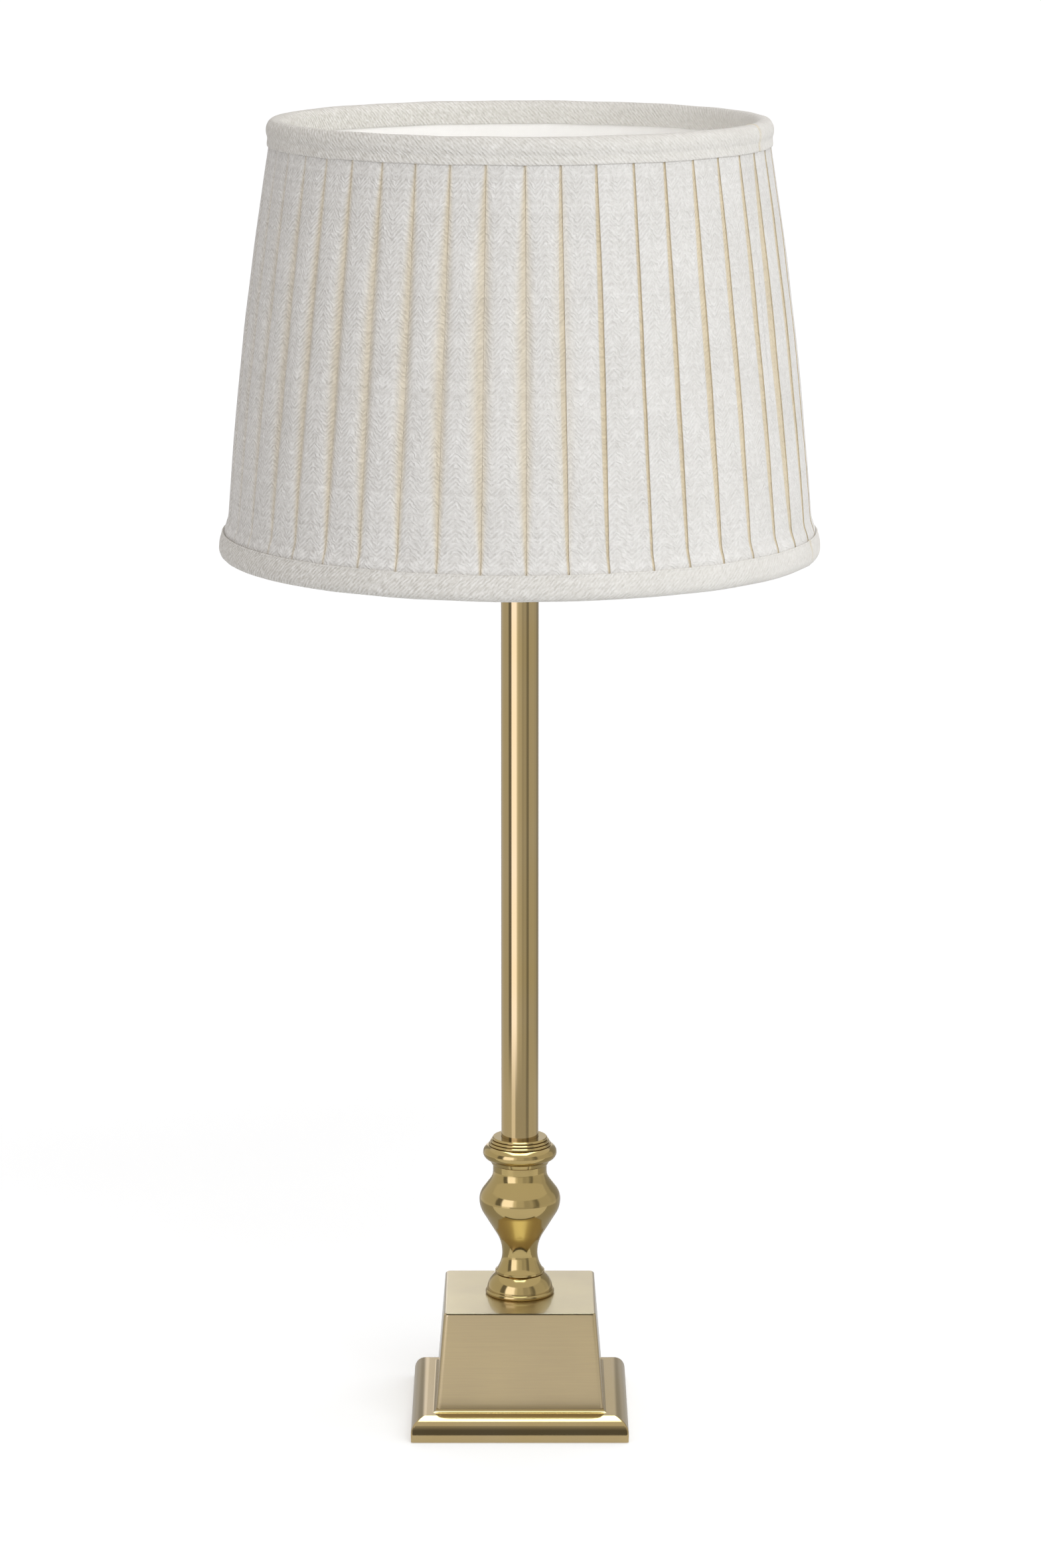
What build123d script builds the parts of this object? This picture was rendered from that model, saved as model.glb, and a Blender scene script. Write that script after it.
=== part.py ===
"""A candlestick table lamp: square brass foot, plinth block, turned baluster, slim column, pleated shade.

All sizes are in millimetres. Z is up, the lamp stands on Z = 0 and its axis is the Z axis.
The front is towards -Y. One STEP file is written for each separate piece.
"""
from build123d import *
from math import asin, atan2, cos, degrees, radians, sin, tan
import os

# ---------------------------------------------------------------- clearances
SLIDE_FIT = 0.05        # radial clearance of a turning or sliding fit
SLIP_FIT = 0.10         # radial clearance of pieces that are assembled by hand
GAP = 0.20              # space between pieces that lie loosely on each other

# ---------------------------------------------------------------- base
FOOT_WIDTH = 111.0      # square foot, over the fascia
FOOT_CORNER = 1.2       # radius of its vertical corners
FASCIA_HEIGHT = 4.2     # flat edge of the foot
OVOLO = 8.0             # quarter-round above the fascia
LEDGE = 3.0             # flat step inside the quarter-round
COVE = 1.6              # small hollow that rises from the step to the block
FOOT_PLATE = 4.0        # thickness of the foot's top plate
FOOT_RIM = 12.0         # width of the foot's edge around its underside pocket
POCKET_CORNER = 4.0
FELT_WIDTH = 101.0
FELT_THICKNESS = 1.5
FELT_PROUD = 0.4        # how far the felt stands below the metal
BLOCK_TOP_WIDTH = 77.6
BLOCK_DRAFT = 4.7       # taper of each side of the block, in degrees
BLOCK_HEIGHT = 49.2
BLOCK_WALL = 3.0
BLOCK_CORNER = 2.6      # radius of the block's upright edges
BLOCK_EDGE = 1.3        # radius round the block's top
WEIGHT_WIDTH = 66.0
WEIGHT_HEIGHT = 38.0
WEIGHT_CORNER = 3.0
CORD_HEIGHT = 11.0      # of the cord inlet above the foot's top
CORD_BORE = 3.5         # radius of the hole through the grommet
GROMMET_BARREL = 5.0
GROMMET_FLANGE = 6.5
GROMMET_FLANGE_THICKNESS = 1.6
GROMMET_TAIL = 1.5      # how far the barrel reaches inside the wall
CORD_SLOT = 6.0         # half width of the channel in the weight
CORD_DROP = 4.0         # radius of the hole that takes the cord down through the foot's plate
CORD_DROP_OFFSET = 20.0

# ---------------------------------------------------------------- threaded rod and its nut
ROD_RADIUS = 4.9
ROD_BORE = 3.7
ROD_CLEARANCE = 0.3     # radial clearance of the holes that the rod passes through
ROD_TAIL = 1.0          # how far the rod stands out of its nut
NUT_ACROSS_FLATS = 14.0
NUT_THICKNESS = 3.5
WASHER_RADIUS = 13.0
WASHER_THICKNESS = 1.5

# ---------------------------------------------------------------- turned stem
DOME_HEIGHT = 11.3
DOME_RADIUS = 17.4
BEAD_RADIUS = 17.75
BEAD_HEIGHT = 2.4
DOME_TOP_RADIUS = 12.7
DOME_CURVE = 11.0       # radius of the dome's curve
SPIGOT_RADIUS = 7.6     # locating spigots between the turned pieces
SPIGOT_HEIGHT = 1.6
VASE_HEIGHT = 57.6
VASE_FLANGE_RADIUS = 12.7
VASE_FLANGE_HEIGHT = 0.9
VASE_ROOT_RADIUS = 12.4 # where the waist's hollow meets the flange
WAIST_RADIUS = 9.1
WAIST_HEIGHT = 10.4
WAIST_CURVE = 19.9      # radius of the hollow above the waist
BELLY_RADIUS = 20.85
BELLY_HEIGHT = 39.0
BELLY_CURVE_BELOW = 13.7
BELLY_CURVE_ABOVE = 9.6
NECK_RADIUS = 13.8
NECK_HEIGHT = 54.2
NECK_CURVE = 8.0        # radius of the hollow under the neck
SEAT_HEIGHT = 14.5
COLLAR_HEIGHT = 2.7     # tapered band below the seat's torus
COLLAR_RADIUS = 14.6
COLLAR_TOP_RADIUS = 15.4
TORUS_ROOT_RADIUS = 16.2        # where the torus meets the pieces above and below
TORUS_RADIUS = 18.95
TORUS_HEIGHT = 7.4
STEP_RADII = (15.9, 15.0, 14.1)
STEP_GROOVE = 0.45
SOCKET_DEPTH = 3.0

# ---------------------------------------------------------------- column
COLUMN_RADIUS = 9.53
COLUMN_WALL = 1.2
COLUMN_LENGTH = 308.0
CAP_RADIUS = 10.6
CAP_THICKNESS = 2.5
CAP_SPIGOT = 6.0

# ---------------------------------------------------------------- lampholder, heights above its base
HOLDER_NECK_RADIUS = 7.5
HOLDER_NECK_HEIGHT = 5.0
HOLDER_SKIRT_RADIUS = 19.5
HOLDER_SHOULDER = 12.0
HOLDER_CAP_HEIGHT = 24.0
HOLDER_WALL = 1.2
HOLDER_THREAD_RADIUS = 19.6
HOLDER_HEIGHT = 58.5
HOLDER_MOUTH_RADIUS = 15.4
SHELL_OVERLAP = 8.0     # how far the shell reaches down inside the cap
CORE_FOOT = 14.0
CORE_FLOOR = 30.0       # height of the insulator's floor, which carries the contacts
CORE_TOP = 54.0
CORE_WALL = 1.5
SCREW_SHELL_RADIUS = 14.7
SCREW_SHELL_WALL = 0.6
CONTACT_WIDTH = 5.0
CONTACT_THICKNESS = 0.6
CONTACT_RISE = 2.2
CONTACT_REACH = 8.0
TERMINAL_RADIUS = 2.6
TERMINAL_LENGTH = 2.0
TERMINAL_OFFSET = 9.0
TERMINAL_SLOT = 0.6
SWITCH_HEIGHT = 18.0
SWITCH_RADIUS = 2.2
SWITCH_KNOB_RADIUS = 3.6
SWITCH_KNOB_LENGTH = 4.0
SWITCH_KNOB_EDGE = 0.7
SWITCH_STANDOFF = 0.5   # space that stays between a pushed knob and the skirt
SWITCH_TRAVEL = 5.0
SEAT_LEVEL = 34.7       # where the shade's fitter rests
RING_FLANGE_RADIUS = 27.0
RING_FLANGE = 1.5
RING_HUB_RADIUS = 22.5
RING_HUB = 5.2
RING_NOTCHES = 12
RING_NOTCH_RADIUS = 0.9

# ---------------------------------------------------------------- bulb
BULB_RADIUS = 30.0
BULB_LENGTH = 104.0
BULB_CAP_RADIUS = 13.2
BULB_CAP_LENGTH = 26.0
BULB_CAP_EDGE = 0.8     # chamfer at the cap's lower end
BULB_NECK_RADIUS = 13.0
BULB_NECK_CURVE = 40.0  # radius of the glass's hollow above the cap
BULB_WALL = 0.8
BULB_TIP_RADIUS = 4.6
BULB_TIP_HEIGHT = 1.2
BULB_CONE_HEIGHT = 3.4

# ---------------------------------------------------------------- shade
SHADE_HEIGHT = 218.0
BINDING_HEIGHT = 13.0
COVER_BOTTOM_RADIUS = 146.5     # over the folds, at the bottom binding's upper edge
COVER_TOP_RADIUS = 124.2        # the same, at the top binding's lower edge
COVER_BOW = 2.0                 # how far the cover swells between the bindings
COVER_FLARE = 1.6               # how far its hem is pushed out where it enters the bottom binding
COVER_FLARE_HEIGHT = 8.0
COVER_WALL = 1.9                # from the folds' edges to the cover's inside
PLEATS = 44
PLEAT_PHASE = 1.0               # angle of the first fold from the front, in degrees
PLEAT_DEPTH_ENDS = 0.7
PLEAT_DEPTH_MIDDLE = 1.5
PLEAT_LIP = 0.35                # angle that each fold's edge takes up, in degrees
COVER_STEPS = 4                 # straight lengths that make up the swelling
WIRE_RADIUS = 1.6               # top and bottom wires
STRUTS = 6
STRUT_START = 15.0              # direction of the first strut, in degrees from +X
STRUT_RADIUS = 1.2
LINING_THICKNESS = 0.4
BINDING_THICKNESS = 0.8
BINDING_ROLL = 1.5              # how far the bottom binding swells out below its upper edge
LEAF_INSET = 2.0                # how much lower the bindings are inside than outside
OUTER_FOLD = 4.5                # radius of the bottom binding's outer lower edge
INNER_FOLD = 3.0                # radius of its inner lower edge
TOP_FOLD = 3.5                  # height of the top binding's rounded edge
WIRE_EASE = 1.5                 # cloth that is packed between a wire and its binding's fold
BOTTOM_WIRE_OUTSET = 0.5        # of the wire's centre from the cover's bottom radius
TOP_WIRE_INSET = 1.7            # of the wire's centre from the cover's top radius
FITTER_RISE = 40.0              # from the shade's bottom edge to the fitter ring's underside
FITTER_BORE = 21.0
FITTER_RING_RADIUS = 31.0
FITTER_THICKNESS = 1.5
ARMS = 3
ARM_RADIUS = 1.5
ARM_BEND = 8.0
ARM_FLAT = 8.0                  # level length at each end of an arm
ARM_START = 90.0                # direction of the first arm, in degrees from +X
ARM_STANDOFF = 1.0              # between the shade rings' flanges and the arms

# ---------------------------------------------------------------- heights that follow from the sizes
FOOT_BOTTOM = FELT_PROUD
FASCIA_TOP = FOOT_BOTTOM + FASCIA_HEIGHT
LEDGE_LEVEL = FASCIA_TOP + OVOLO
BLOCK_BOTTOM = LEDGE_LEVEL + COVE
BLOCK_TOP = BLOCK_BOTTOM + BLOCK_HEIGHT
VASE_BOTTOM = BLOCK_TOP + DOME_HEIGHT
SEAT_BOTTOM = VASE_BOTTOM + VASE_HEIGHT
SEAT_TOP = SEAT_BOTTOM + SEAT_HEIGHT
COLUMN_BOTTOM = SEAT_TOP - SOCKET_DEPTH
COLUMN_TOP = COLUMN_BOTTOM + COLUMN_LENGTH
HOLDER_BASE = COLUMN_TOP + CAP_THICKNESS
FITTER_LEVEL = HOLDER_BASE + SEAT_LEVEL + GAP
SHADE_BOTTOM = FITTER_LEVEL - FITTER_RISE
SHADE_TOP = SHADE_BOTTOM + SHADE_HEIGHT
COVER_LOW = SHADE_BOTTOM + BINDING_HEIGHT
COVER_HIGH = SHADE_TOP - BINDING_HEIGHT
FELT_TOP = FELT_THICKNESS
ROD_HOLE = ROD_RADIUS + ROD_CLEARANCE
BLOCK_LEAN = tan(radians(BLOCK_DRAFT))
BLOCK_BOTTOM_WIDTH = BLOCK_TOP_WIDTH + 2 * BLOCK_HEIGHT * BLOCK_LEAN
CORD_LEVEL = BLOCK_BOTTOM + CORD_HEIGHT
BOTTOM_WIRE_LEVEL = SHADE_BOTTOM + BINDING_THICKNESS + WIRE_EASE + GAP + WIRE_RADIUS
TOP_WIRE_LEVEL = SHADE_TOP - BINDING_THICKNESS - WIRE_EASE - GAP - WIRE_RADIUS
BULB_TIP_LEVEL = HOLDER_BASE + CORE_FLOOR + CONTACT_RISE + CONTACT_THICKNESS + GAP

# ---------------------------------------------------------------- radii of the shade's frame and bindings
BOTTOM_WIRE_RADIUS = COVER_BOTTOM_RADIUS + BOTTOM_WIRE_OUTSET
TOP_WIRE_RADIUS = COVER_TOP_RADIUS - TOP_WIRE_INSET
TOP_BINDING_RADIUS = COVER_TOP_RADIUS + GAP + BINDING_THICKNESS
BOTTOM_LIP_RADIUS = COVER_BOTTOM_RADIUS + COVER_FLARE + GAP + BINDING_THICKNESS
BOTTOM_BINDING_RADIUS = BOTTOM_LIP_RADIUS + BINDING_ROLL


# ---------------------------------------------------------------- shared shapes
def tube(outer, inner, low, high):
    """A round tube between two heights."""
    walls = Cylinder(outer, high - low) - Cylinder(inner, high - low)
    return Pos(0, 0, (low + high) / 2) * walls


def rod(radius, low, high):
    """A round bar between two heights."""
    return Pos(0, 0, (low + high) / 2) * Cylinder(radius, high - low)


def turned(outline):
    """A solid of revolution about Z, from a closed outline of radius and height."""
    return revolve(make_face(Plane.XZ * outline), Axis.Z)


def square_prism(width, corner, low, high):
    """An upright square bar with rounded corners."""
    return Pos(0, 0, low) * extrude(RectangleRounded(width, width, corner), high - low)


def square_frustum(low_width, high_width, corner, low, high):
    """A square block that tapers evenly on all four sides."""
    sections = [
        Pos(0, 0, low) * RectangleRounded(low_width, low_width, corner),
        Pos(0, 0, high) * RectangleRounded(high_width, high_width, corner),
    ]
    return loft(sections)


def ring_of(shape, count, start=0.0):
    """Copies of a shape, evenly spaced round the Z axis."""
    return [Rot(0, 0, start + 360 * number / count) * shape for number in range(count)]


def ogee(low_point, high_point, low_curve, high_curve):
    """A turned S-curve, upright at both ends: an arc, a straight stretch and an arc the other way.

    It starts at low_point and ends at high_point, and the curves are the two arcs' radii.
    """
    side = 1 if high_point[0] > low_point[0] else -1
    low_centre = Vector(low_point[0] + side * low_curve, low_point[1])
    high_centre = Vector(high_point[0] - side * high_curve, high_point[1])
    across = high_centre - low_centre
    spread = asin((low_curve + high_curve) / across.length)
    lean = spread - atan2(-side * across.X, across.Y)
    towards = Vector(-side * cos(lean), sin(lean))
    low_end = low_centre + towards * low_curve
    high_end = high_centre - towards * high_curve
    curve = TangentArc(low_point, low_end, tangent=(0, 1))
    curve += Line(low_end, high_end)
    curve += TangentArc(high_end, high_point, tangent=high_end - low_end)
    return curve


# ---------------------------------------------------------------- base
def make_base_foot():
    """Square cast foot: fascia, quarter-round, step and hollow, mitred at the corners."""
    half = FOOT_WIDTH / 2
    step = half - OVOLO
    cove = step - LEDGE
    side = Line((0, FOOT_BOTTOM), (half, FOOT_BOTTOM))
    side += Line((half, FOOT_BOTTOM), (half, FASCIA_TOP))
    side += CenterArc((step, FASCIA_TOP), OVOLO, 0, 90)
    side += Line((step, LEDGE_LEVEL), (cove, LEDGE_LEVEL))
    side += CenterArc((cove, BLOCK_BOTTOM), COVE, 270, -90)
    side += Line((cove - COVE, BLOCK_BOTTOM), (0, BLOCK_BOTTOM))
    section = make_face(Plane.XZ * (side + mirror(side, about=Plane.YZ)))
    bar = extrude(section, amount=half, both=True)
    foot = bar & (Rot(0, 0, 90) * bar)
    foot = fillet(foot.edges().filter_by(Axis.Z), FOOT_CORNER)

    felt_recess = square_prism(FELT_WIDTH + 2 * GAP, POCKET_CORNER, 0, FELT_TOP)
    pocket_width = FOOT_WIDTH - 2 * FOOT_RIM
    pocket = square_prism(pocket_width, POCKET_CORNER, 0, BLOCK_BOTTOM - FOOT_PLATE)
    rod_hole = rod(ROD_HOLE, 0, BLOCK_BOTTOM)
    cord_hole = Pos(0, CORD_DROP_OFFSET, 0) * rod(CORD_DROP, 0, BLOCK_BOTTOM)
    return foot - felt_recess - pocket - rod_hole - cord_hole


def make_base_felt():
    """Felt pad glued into the foot's underside; the lamp stands on it."""
    return square_prism(FELT_WIDTH, POCKET_CORNER, 0, FELT_TOP)


def block_half_width(level):
    """Half the width of the plinth block at a height."""
    return BLOCK_TOP_WIDTH / 2 + (BLOCK_TOP - level) * BLOCK_LEAN


def grommet_face():
    """Y of the flat milled into the block's back for the grommet's flange."""
    return block_half_width(CORD_LEVEL + GROMMET_FLANGE + GAP)


def along_y(shape):
    """A shape made along Z, turned to lie along +Y at the cord inlet's height."""
    return Pos(0, 0, CORD_LEVEL) * Rot(-90, 0, 0) * shape


def make_plinth_block():
    """Hollow tapered block, open below, with the cord inlet in its back."""
    block = square_frustum(BLOCK_BOTTOM_WIDTH, BLOCK_TOP_WIDTH, BLOCK_CORNER, BLOCK_BOTTOM, BLOCK_TOP)
    block = fillet(block.faces().sort_by(Axis.Z)[-1].edges(), BLOCK_EDGE)
    ceiling = BLOCK_TOP - BLOCK_WALL
    inner_top = 2 * (block_half_width(ceiling) - BLOCK_WALL)
    inner_bottom = BLOCK_BOTTOM_WIDTH - 2 * BLOCK_WALL
    cavity = square_frustum(inner_bottom, inner_top, BLOCK_CORNER, BLOCK_BOTTOM, ceiling)
    rod_hole = rod(ROD_HOLE, BLOCK_BOTTOM, BLOCK_TOP)
    flat = along_y(rod(GROMMET_FLANGE + GAP, grommet_face(), FOOT_WIDTH / 2))
    inlet = along_y(rod(GROMMET_BARREL + SLIDE_FIT, WEIGHT_WIDTH / 2, FOOT_WIDTH / 2))
    return block - cavity - rod_hole - flat - inlet


def make_cord_grommet():
    """Flanged bush that lines the cord inlet."""
    face = grommet_face()
    inner_end = block_half_width(CORD_LEVEL) - BLOCK_WALL - GROMMET_TAIL
    flange = rod(GROMMET_FLANGE, face, face + GROMMET_FLANGE_THICKNESS)
    rim = flange.edges().filter_by(GeomType.CIRCLE).sort_by(Axis.Z)[-1]
    flange = fillet(rim, GROMMET_FLANGE_THICKNESS / 2)
    barrel = rod(GROMMET_BARREL, inner_end, face)
    hole = rod(CORD_BORE, inner_end, face + GROMMET_FLANGE_THICKNESS)
    return along_y(flange + barrel - hole)


def make_base_weight():
    """Cast iron ballast in the block, with a channel for the cord."""
    top = BLOCK_BOTTOM + WEIGHT_HEIGHT
    weight = square_prism(WEIGHT_WIDTH, WEIGHT_CORNER, BLOCK_BOTTOM, top)
    channel_top = CORD_LEVEL + CORD_SLOT
    channel = Pos(0, WEIGHT_WIDTH / 4, (BLOCK_BOTTOM + channel_top) / 2)
    channel *= Box(2 * CORD_SLOT, WEIGHT_WIDTH / 2, channel_top - BLOCK_BOTTOM)
    return weight - rod(ROD_HOLE, BLOCK_BOTTOM, top) - channel


def nut_levels():
    """Underside of the nut, between nut and washer, and the plate that the washer bears on."""
    plate = BLOCK_BOTTOM - FOOT_PLATE
    return plate - WASHER_THICKNESS - NUT_THICKNESS, plate - WASHER_THICKNESS, plate


def make_base_washer():
    """Flat washer under the foot's plate."""
    _, low, high = nut_levels()
    return tube(WASHER_RADIUS, ROD_HOLE, low, high)


def make_base_nut():
    """Thin hexagon nut that draws the whole stem together."""
    low, high, _ = nut_levels()
    corner_radius = NUT_ACROSS_FLATS / 2 / cos(radians(30))
    nut = Pos(0, 0, low) * extrude(RegularPolygon(corner_radius, 6), high - low)
    return nut - rod(ROD_RADIUS + SLIDE_FIT, low, high)


def make_tie_rod():
    """Hollow threaded rod from the base nut up into the lampholder; the cord runs inside it."""
    nut_bottom, _, _ = nut_levels()
    return tube(ROD_RADIUS, ROD_BORE, nut_bottom - ROD_TAIL, HOLDER_BASE + HOLDER_NECK_HEIGHT)


# ---------------------------------------------------------------- turned stem
def spigot_recess(level):
    """Recess in a turned piece's underside, for the spigot of the piece below."""
    return rod(SPIGOT_RADIUS + SLIP_FIT, level, level + SPIGOT_HEIGHT + GAP)


def spigot(level):
    """Locating spigot on top of a turned piece."""
    return tube(SPIGOT_RADIUS, ROD_HOLE, level, level + SPIGOT_HEIGHT)


def make_baluster_foot():
    """Domed round foot with a bead at its rim."""
    low = BLOCK_TOP
    bead_top = low + BEAD_HEIGHT
    shoulder = low + DOME_HEIGHT
    outline = Line((ROD_HOLE, low), (BEAD_RADIUS - BEAD_HEIGHT / 4, low))
    outline += ThreePointArc(
        (BEAD_RADIUS - BEAD_HEIGHT / 4, low),
        (BEAD_RADIUS, low + BEAD_HEIGHT / 2),
        (BEAD_RADIUS - BEAD_HEIGHT / 4, bead_top),
    )
    dome_start = (DOME_RADIUS - STEP_GROOVE, bead_top)
    dome_end = (DOME_TOP_RADIUS - STEP_GROOVE, shoulder - STEP_GROOVE)
    outline += Line((BEAD_RADIUS - BEAD_HEIGHT / 4, bead_top), dome_start)
    outline += RadiusArc(dome_start, dome_end, -DOME_CURVE)
    outline += Polyline(
        dome_end,
        (DOME_TOP_RADIUS - 2 * STEP_GROOVE, shoulder),
        (ROD_HOLE, shoulder),
        (ROD_HOLE, low),
    )
    return turned(outline) + spigot(shoulder)


def make_baluster():
    """Vase-shaped turning: flange, waist, belly and neck in one flowing line."""
    low = VASE_BOTTOM
    high = SEAT_BOTTOM
    rim = low + VASE_FLANGE_HEIGHT
    waist = (WAIST_RADIUS, low + WAIST_HEIGHT)
    belly = (BELLY_RADIUS, low + BELLY_HEIGHT)
    neck = (NECK_RADIUS, low + NECK_HEIGHT)
    outline = Polyline(
        (ROD_HOLE, low),
        (VASE_FLANGE_RADIUS, low),
        (VASE_FLANGE_RADIUS, rim),
        (VASE_ROOT_RADIUS, rim),
    )
    outline += TangentArc(waist, (VASE_ROOT_RADIUS, rim), tangent=(0, -1))
    outline += ogee(waist, belly, WAIST_CURVE, BELLY_CURVE_BELOW)
    outline += ogee(belly, neck, BELLY_CURVE_ABOVE, NECK_CURVE)
    outline += Polyline(neck, (NECK_RADIUS, high), (ROD_HOLE, high), (ROD_HOLE, low))
    return turned(outline) - spigot_recess(low) + spigot(high)


def make_column_seat():
    """Torus and three fine steps that carry the column."""
    low = SEAT_BOTTOM
    collar_top = low + COLLAR_HEIGHT
    torus_top = collar_top + TORUS_HEIGHT
    outline = Polyline(
        (ROD_HOLE, low),
        (COLLAR_RADIUS - STEP_GROOVE, low),
        (COLLAR_RADIUS, low + STEP_GROOVE),
        (COLLAR_TOP_RADIUS, collar_top - STEP_GROOVE),
        (COLLAR_TOP_RADIUS - STEP_GROOVE, collar_top),
        (TORUS_ROOT_RADIUS, collar_top),
    )
    outline += ThreePointArc(
        (TORUS_ROOT_RADIUS, collar_top),
        (TORUS_RADIUS, collar_top + TORUS_HEIGHT / 2),
        (TORUS_ROOT_RADIUS, torus_top),
    )
    step_height = (SEAT_TOP - torus_top) / len(STEP_RADII)
    corners = [(TORUS_ROOT_RADIUS, torus_top)]
    for number, radius in enumerate(STEP_RADII):
        bottom = torus_top + number * step_height
        corners.append((radius - STEP_GROOVE, bottom))
        corners.append((radius, bottom + STEP_GROOVE))
        corners.append((radius, bottom + step_height - STEP_GROOVE))
        corners.append((radius - STEP_GROOVE, bottom + step_height))
    corners.append((ROD_HOLE, SEAT_TOP))
    corners.append((ROD_HOLE, low))
    outline += Polyline(*corners)
    socket = rod(COLUMN_RADIUS + SLIP_FIT, COLUMN_BOTTOM, SEAT_TOP)
    return turned(outline) - spigot_recess(low) - socket


def make_column_tube():
    """Plain polished tube."""
    return tube(COLUMN_RADIUS, COLUMN_RADIUS - COLUMN_WALL, COLUMN_BOTTOM, COLUMN_TOP)


def make_column_cap():
    """Turned cap that closes the column and carries the lampholder."""
    flange = tube(CAP_RADIUS, ROD_HOLE, COLUMN_TOP, HOLDER_BASE)
    plug_radius = COLUMN_RADIUS - COLUMN_WALL - SLIP_FIT
    plug = tube(plug_radius, ROD_HOLE, COLUMN_TOP - CAP_SPIGOT, COLUMN_TOP)
    return flange + plug


# ---------------------------------------------------------------- lampholder
def switch_bore():
    """Cross hole that the switch bar slides in."""
    span = 2 * (HOLDER_SKIRT_RADIUS + GAP)
    hole = Rot(0, 90, 0) * Cylinder(SWITCH_RADIUS + SLIDE_FIT, span)
    return Pos(0, 0, HOLDER_BASE + SWITCH_HEIGHT) * hole


def make_holder_cap():
    """Lower half of the lampholder: threaded neck, dome and skirt."""
    base = HOLDER_BASE
    thread = ROD_RADIUS + SLIDE_FIT
    neck_top = base + HOLDER_NECK_HEIGHT
    shoulder = base + HOLDER_SHOULDER
    skirt_inner = HOLDER_SKIRT_RADIUS - HOLDER_WALL
    curve = shoulder - neck_top
    centre = (HOLDER_SKIRT_RADIUS - curve, shoulder)
    outline = Polyline(
        (thread, base), (HOLDER_NECK_RADIUS, base), (HOLDER_NECK_RADIUS, neck_top), (centre[0], neck_top)
    )
    outline += CenterArc(centre, curve, 270, 90)
    outline += Polyline(
        (HOLDER_SKIRT_RADIUS, shoulder),
        (HOLDER_SKIRT_RADIUS, base + HOLDER_CAP_HEIGHT),
        (skirt_inner, base + HOLDER_CAP_HEIGHT),
        (skirt_inner, shoulder),
    )
    outline += CenterArc(centre, curve - HOLDER_WALL, 0, -90)
    outline += Polyline(
        (centre[0], neck_top + HOLDER_WALL), (thread, neck_top + HOLDER_WALL), (thread, base)
    )
    return turned(outline) - switch_bore()


def shell_inner_radius():
    """Inside of the lampholder's shell."""
    return HOLDER_SKIRT_RADIUS - 2 * HOLDER_WALL - SLIP_FIT


def make_holder_shell():
    """Upper half of the lampholder, threaded outside for the shade rings."""
    tail = HOLDER_BASE + HOLDER_CAP_HEIGHT - SHELL_OVERLAP
    shoulder = HOLDER_BASE + HOLDER_CAP_HEIGHT + GAP
    top = HOLDER_BASE + HOLDER_HEIGHT
    inner = shell_inner_radius()
    tail_outer = HOLDER_SKIRT_RADIUS - HOLDER_WALL - SLIP_FIT
    rim_level = top - HOLDER_WALL
    outline = Polyline(
        (inner, tail),
        (tail_outer, tail),
        (tail_outer, shoulder),
        (HOLDER_THREAD_RADIUS, shoulder),
        (HOLDER_THREAD_RADIUS, top - HOLDER_WALL),
        (HOLDER_THREAD_RADIUS - HOLDER_WALL, top),
        (HOLDER_MOUTH_RADIUS, top),
        (HOLDER_MOUTH_RADIUS, rim_level),
        (inner, rim_level),
        (inner, tail),
    )
    return turned(outline) - switch_bore()


def make_holder_core():
    """Ceramic insulator: floor for the contacts and a sleeve round the screw shell."""
    radius = shell_inner_radius() - GAP
    floor = HOLDER_BASE + CORE_FLOOR
    body = rod(radius, HOLDER_BASE + CORE_FOOT, HOLDER_BASE + CORE_TOP)
    pocket = rod(radius - CORE_WALL, floor, HOLDER_BASE + CORE_TOP)
    wire_way = rod(ROD_BORE, HOLDER_BASE + CORE_FOOT, HOLDER_BASE + SWITCH_HEIGHT)
    return body - pocket - wire_way - switch_bore()


def make_screw_shell():
    """Brass screw shell that takes the bulb's cap."""
    low = HOLDER_BASE + CORE_FLOOR
    return tube(SCREW_SHELL_RADIUS, SCREW_SHELL_RADIUS - SCREW_SHELL_WALL, low, HOLDER_BASE + CORE_TOP)


def make_centre_contact():
    """Bent spring tongue on the insulator's floor, under the bulb's tip."""
    low = HOLDER_BASE + CORE_FLOOR
    top = low + CONTACT_RISE
    reach = CONTACT_REACH
    half = CONTACT_WIDTH / 2
    profile = Polyline(
        (-reach, low),
        (-half, low),
        (half, top),
        (reach - half, top),
        (reach - half, top + CONTACT_THICKNESS),
        (0, top + CONTACT_THICKNESS),
        (-half, low + CONTACT_THICKNESS),
        (-reach, low + CONTACT_THICKNESS),
        (-reach, low),
    )
    return extrude(make_face(Plane.XZ * profile), amount=half, both=True)


def make_terminal_screws():
    """Two screw heads under the insulator, where the cord's wires are clamped."""
    foot = HOLDER_BASE + CORE_FOOT
    head = rod(TERMINAL_RADIUS, foot - TERMINAL_LENGTH, foot)
    slot = Pos(0, 0, foot - TERMINAL_LENGTH) * Box(2 * TERMINAL_RADIUS, TERMINAL_SLOT, 2 * TERMINAL_SLOT)
    screw = Pos(0, TERMINAL_OFFSET, 0) * (head - slot)
    return Compound(children=ring_of(screw, 2))


def shade_ring(flange_low, hub_low, hub_high):
    """Threaded ring with a flange against the shade's fitter and grip notches round its hub."""
    bore = HOLDER_THREAD_RADIUS + SLIDE_FIT
    flange = tube(RING_FLANGE_RADIUS, bore, flange_low, flange_low + RING_FLANGE)
    hub = tube(RING_HUB_RADIUS, bore, hub_low, hub_high)
    notch = Pos(RING_HUB_RADIUS, 0, 0) * rod(RING_NOTCH_RADIUS, hub_low, hub_high)
    for cut in ring_of(notch, RING_NOTCHES):
        hub -= cut
    return flange + hub


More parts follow.
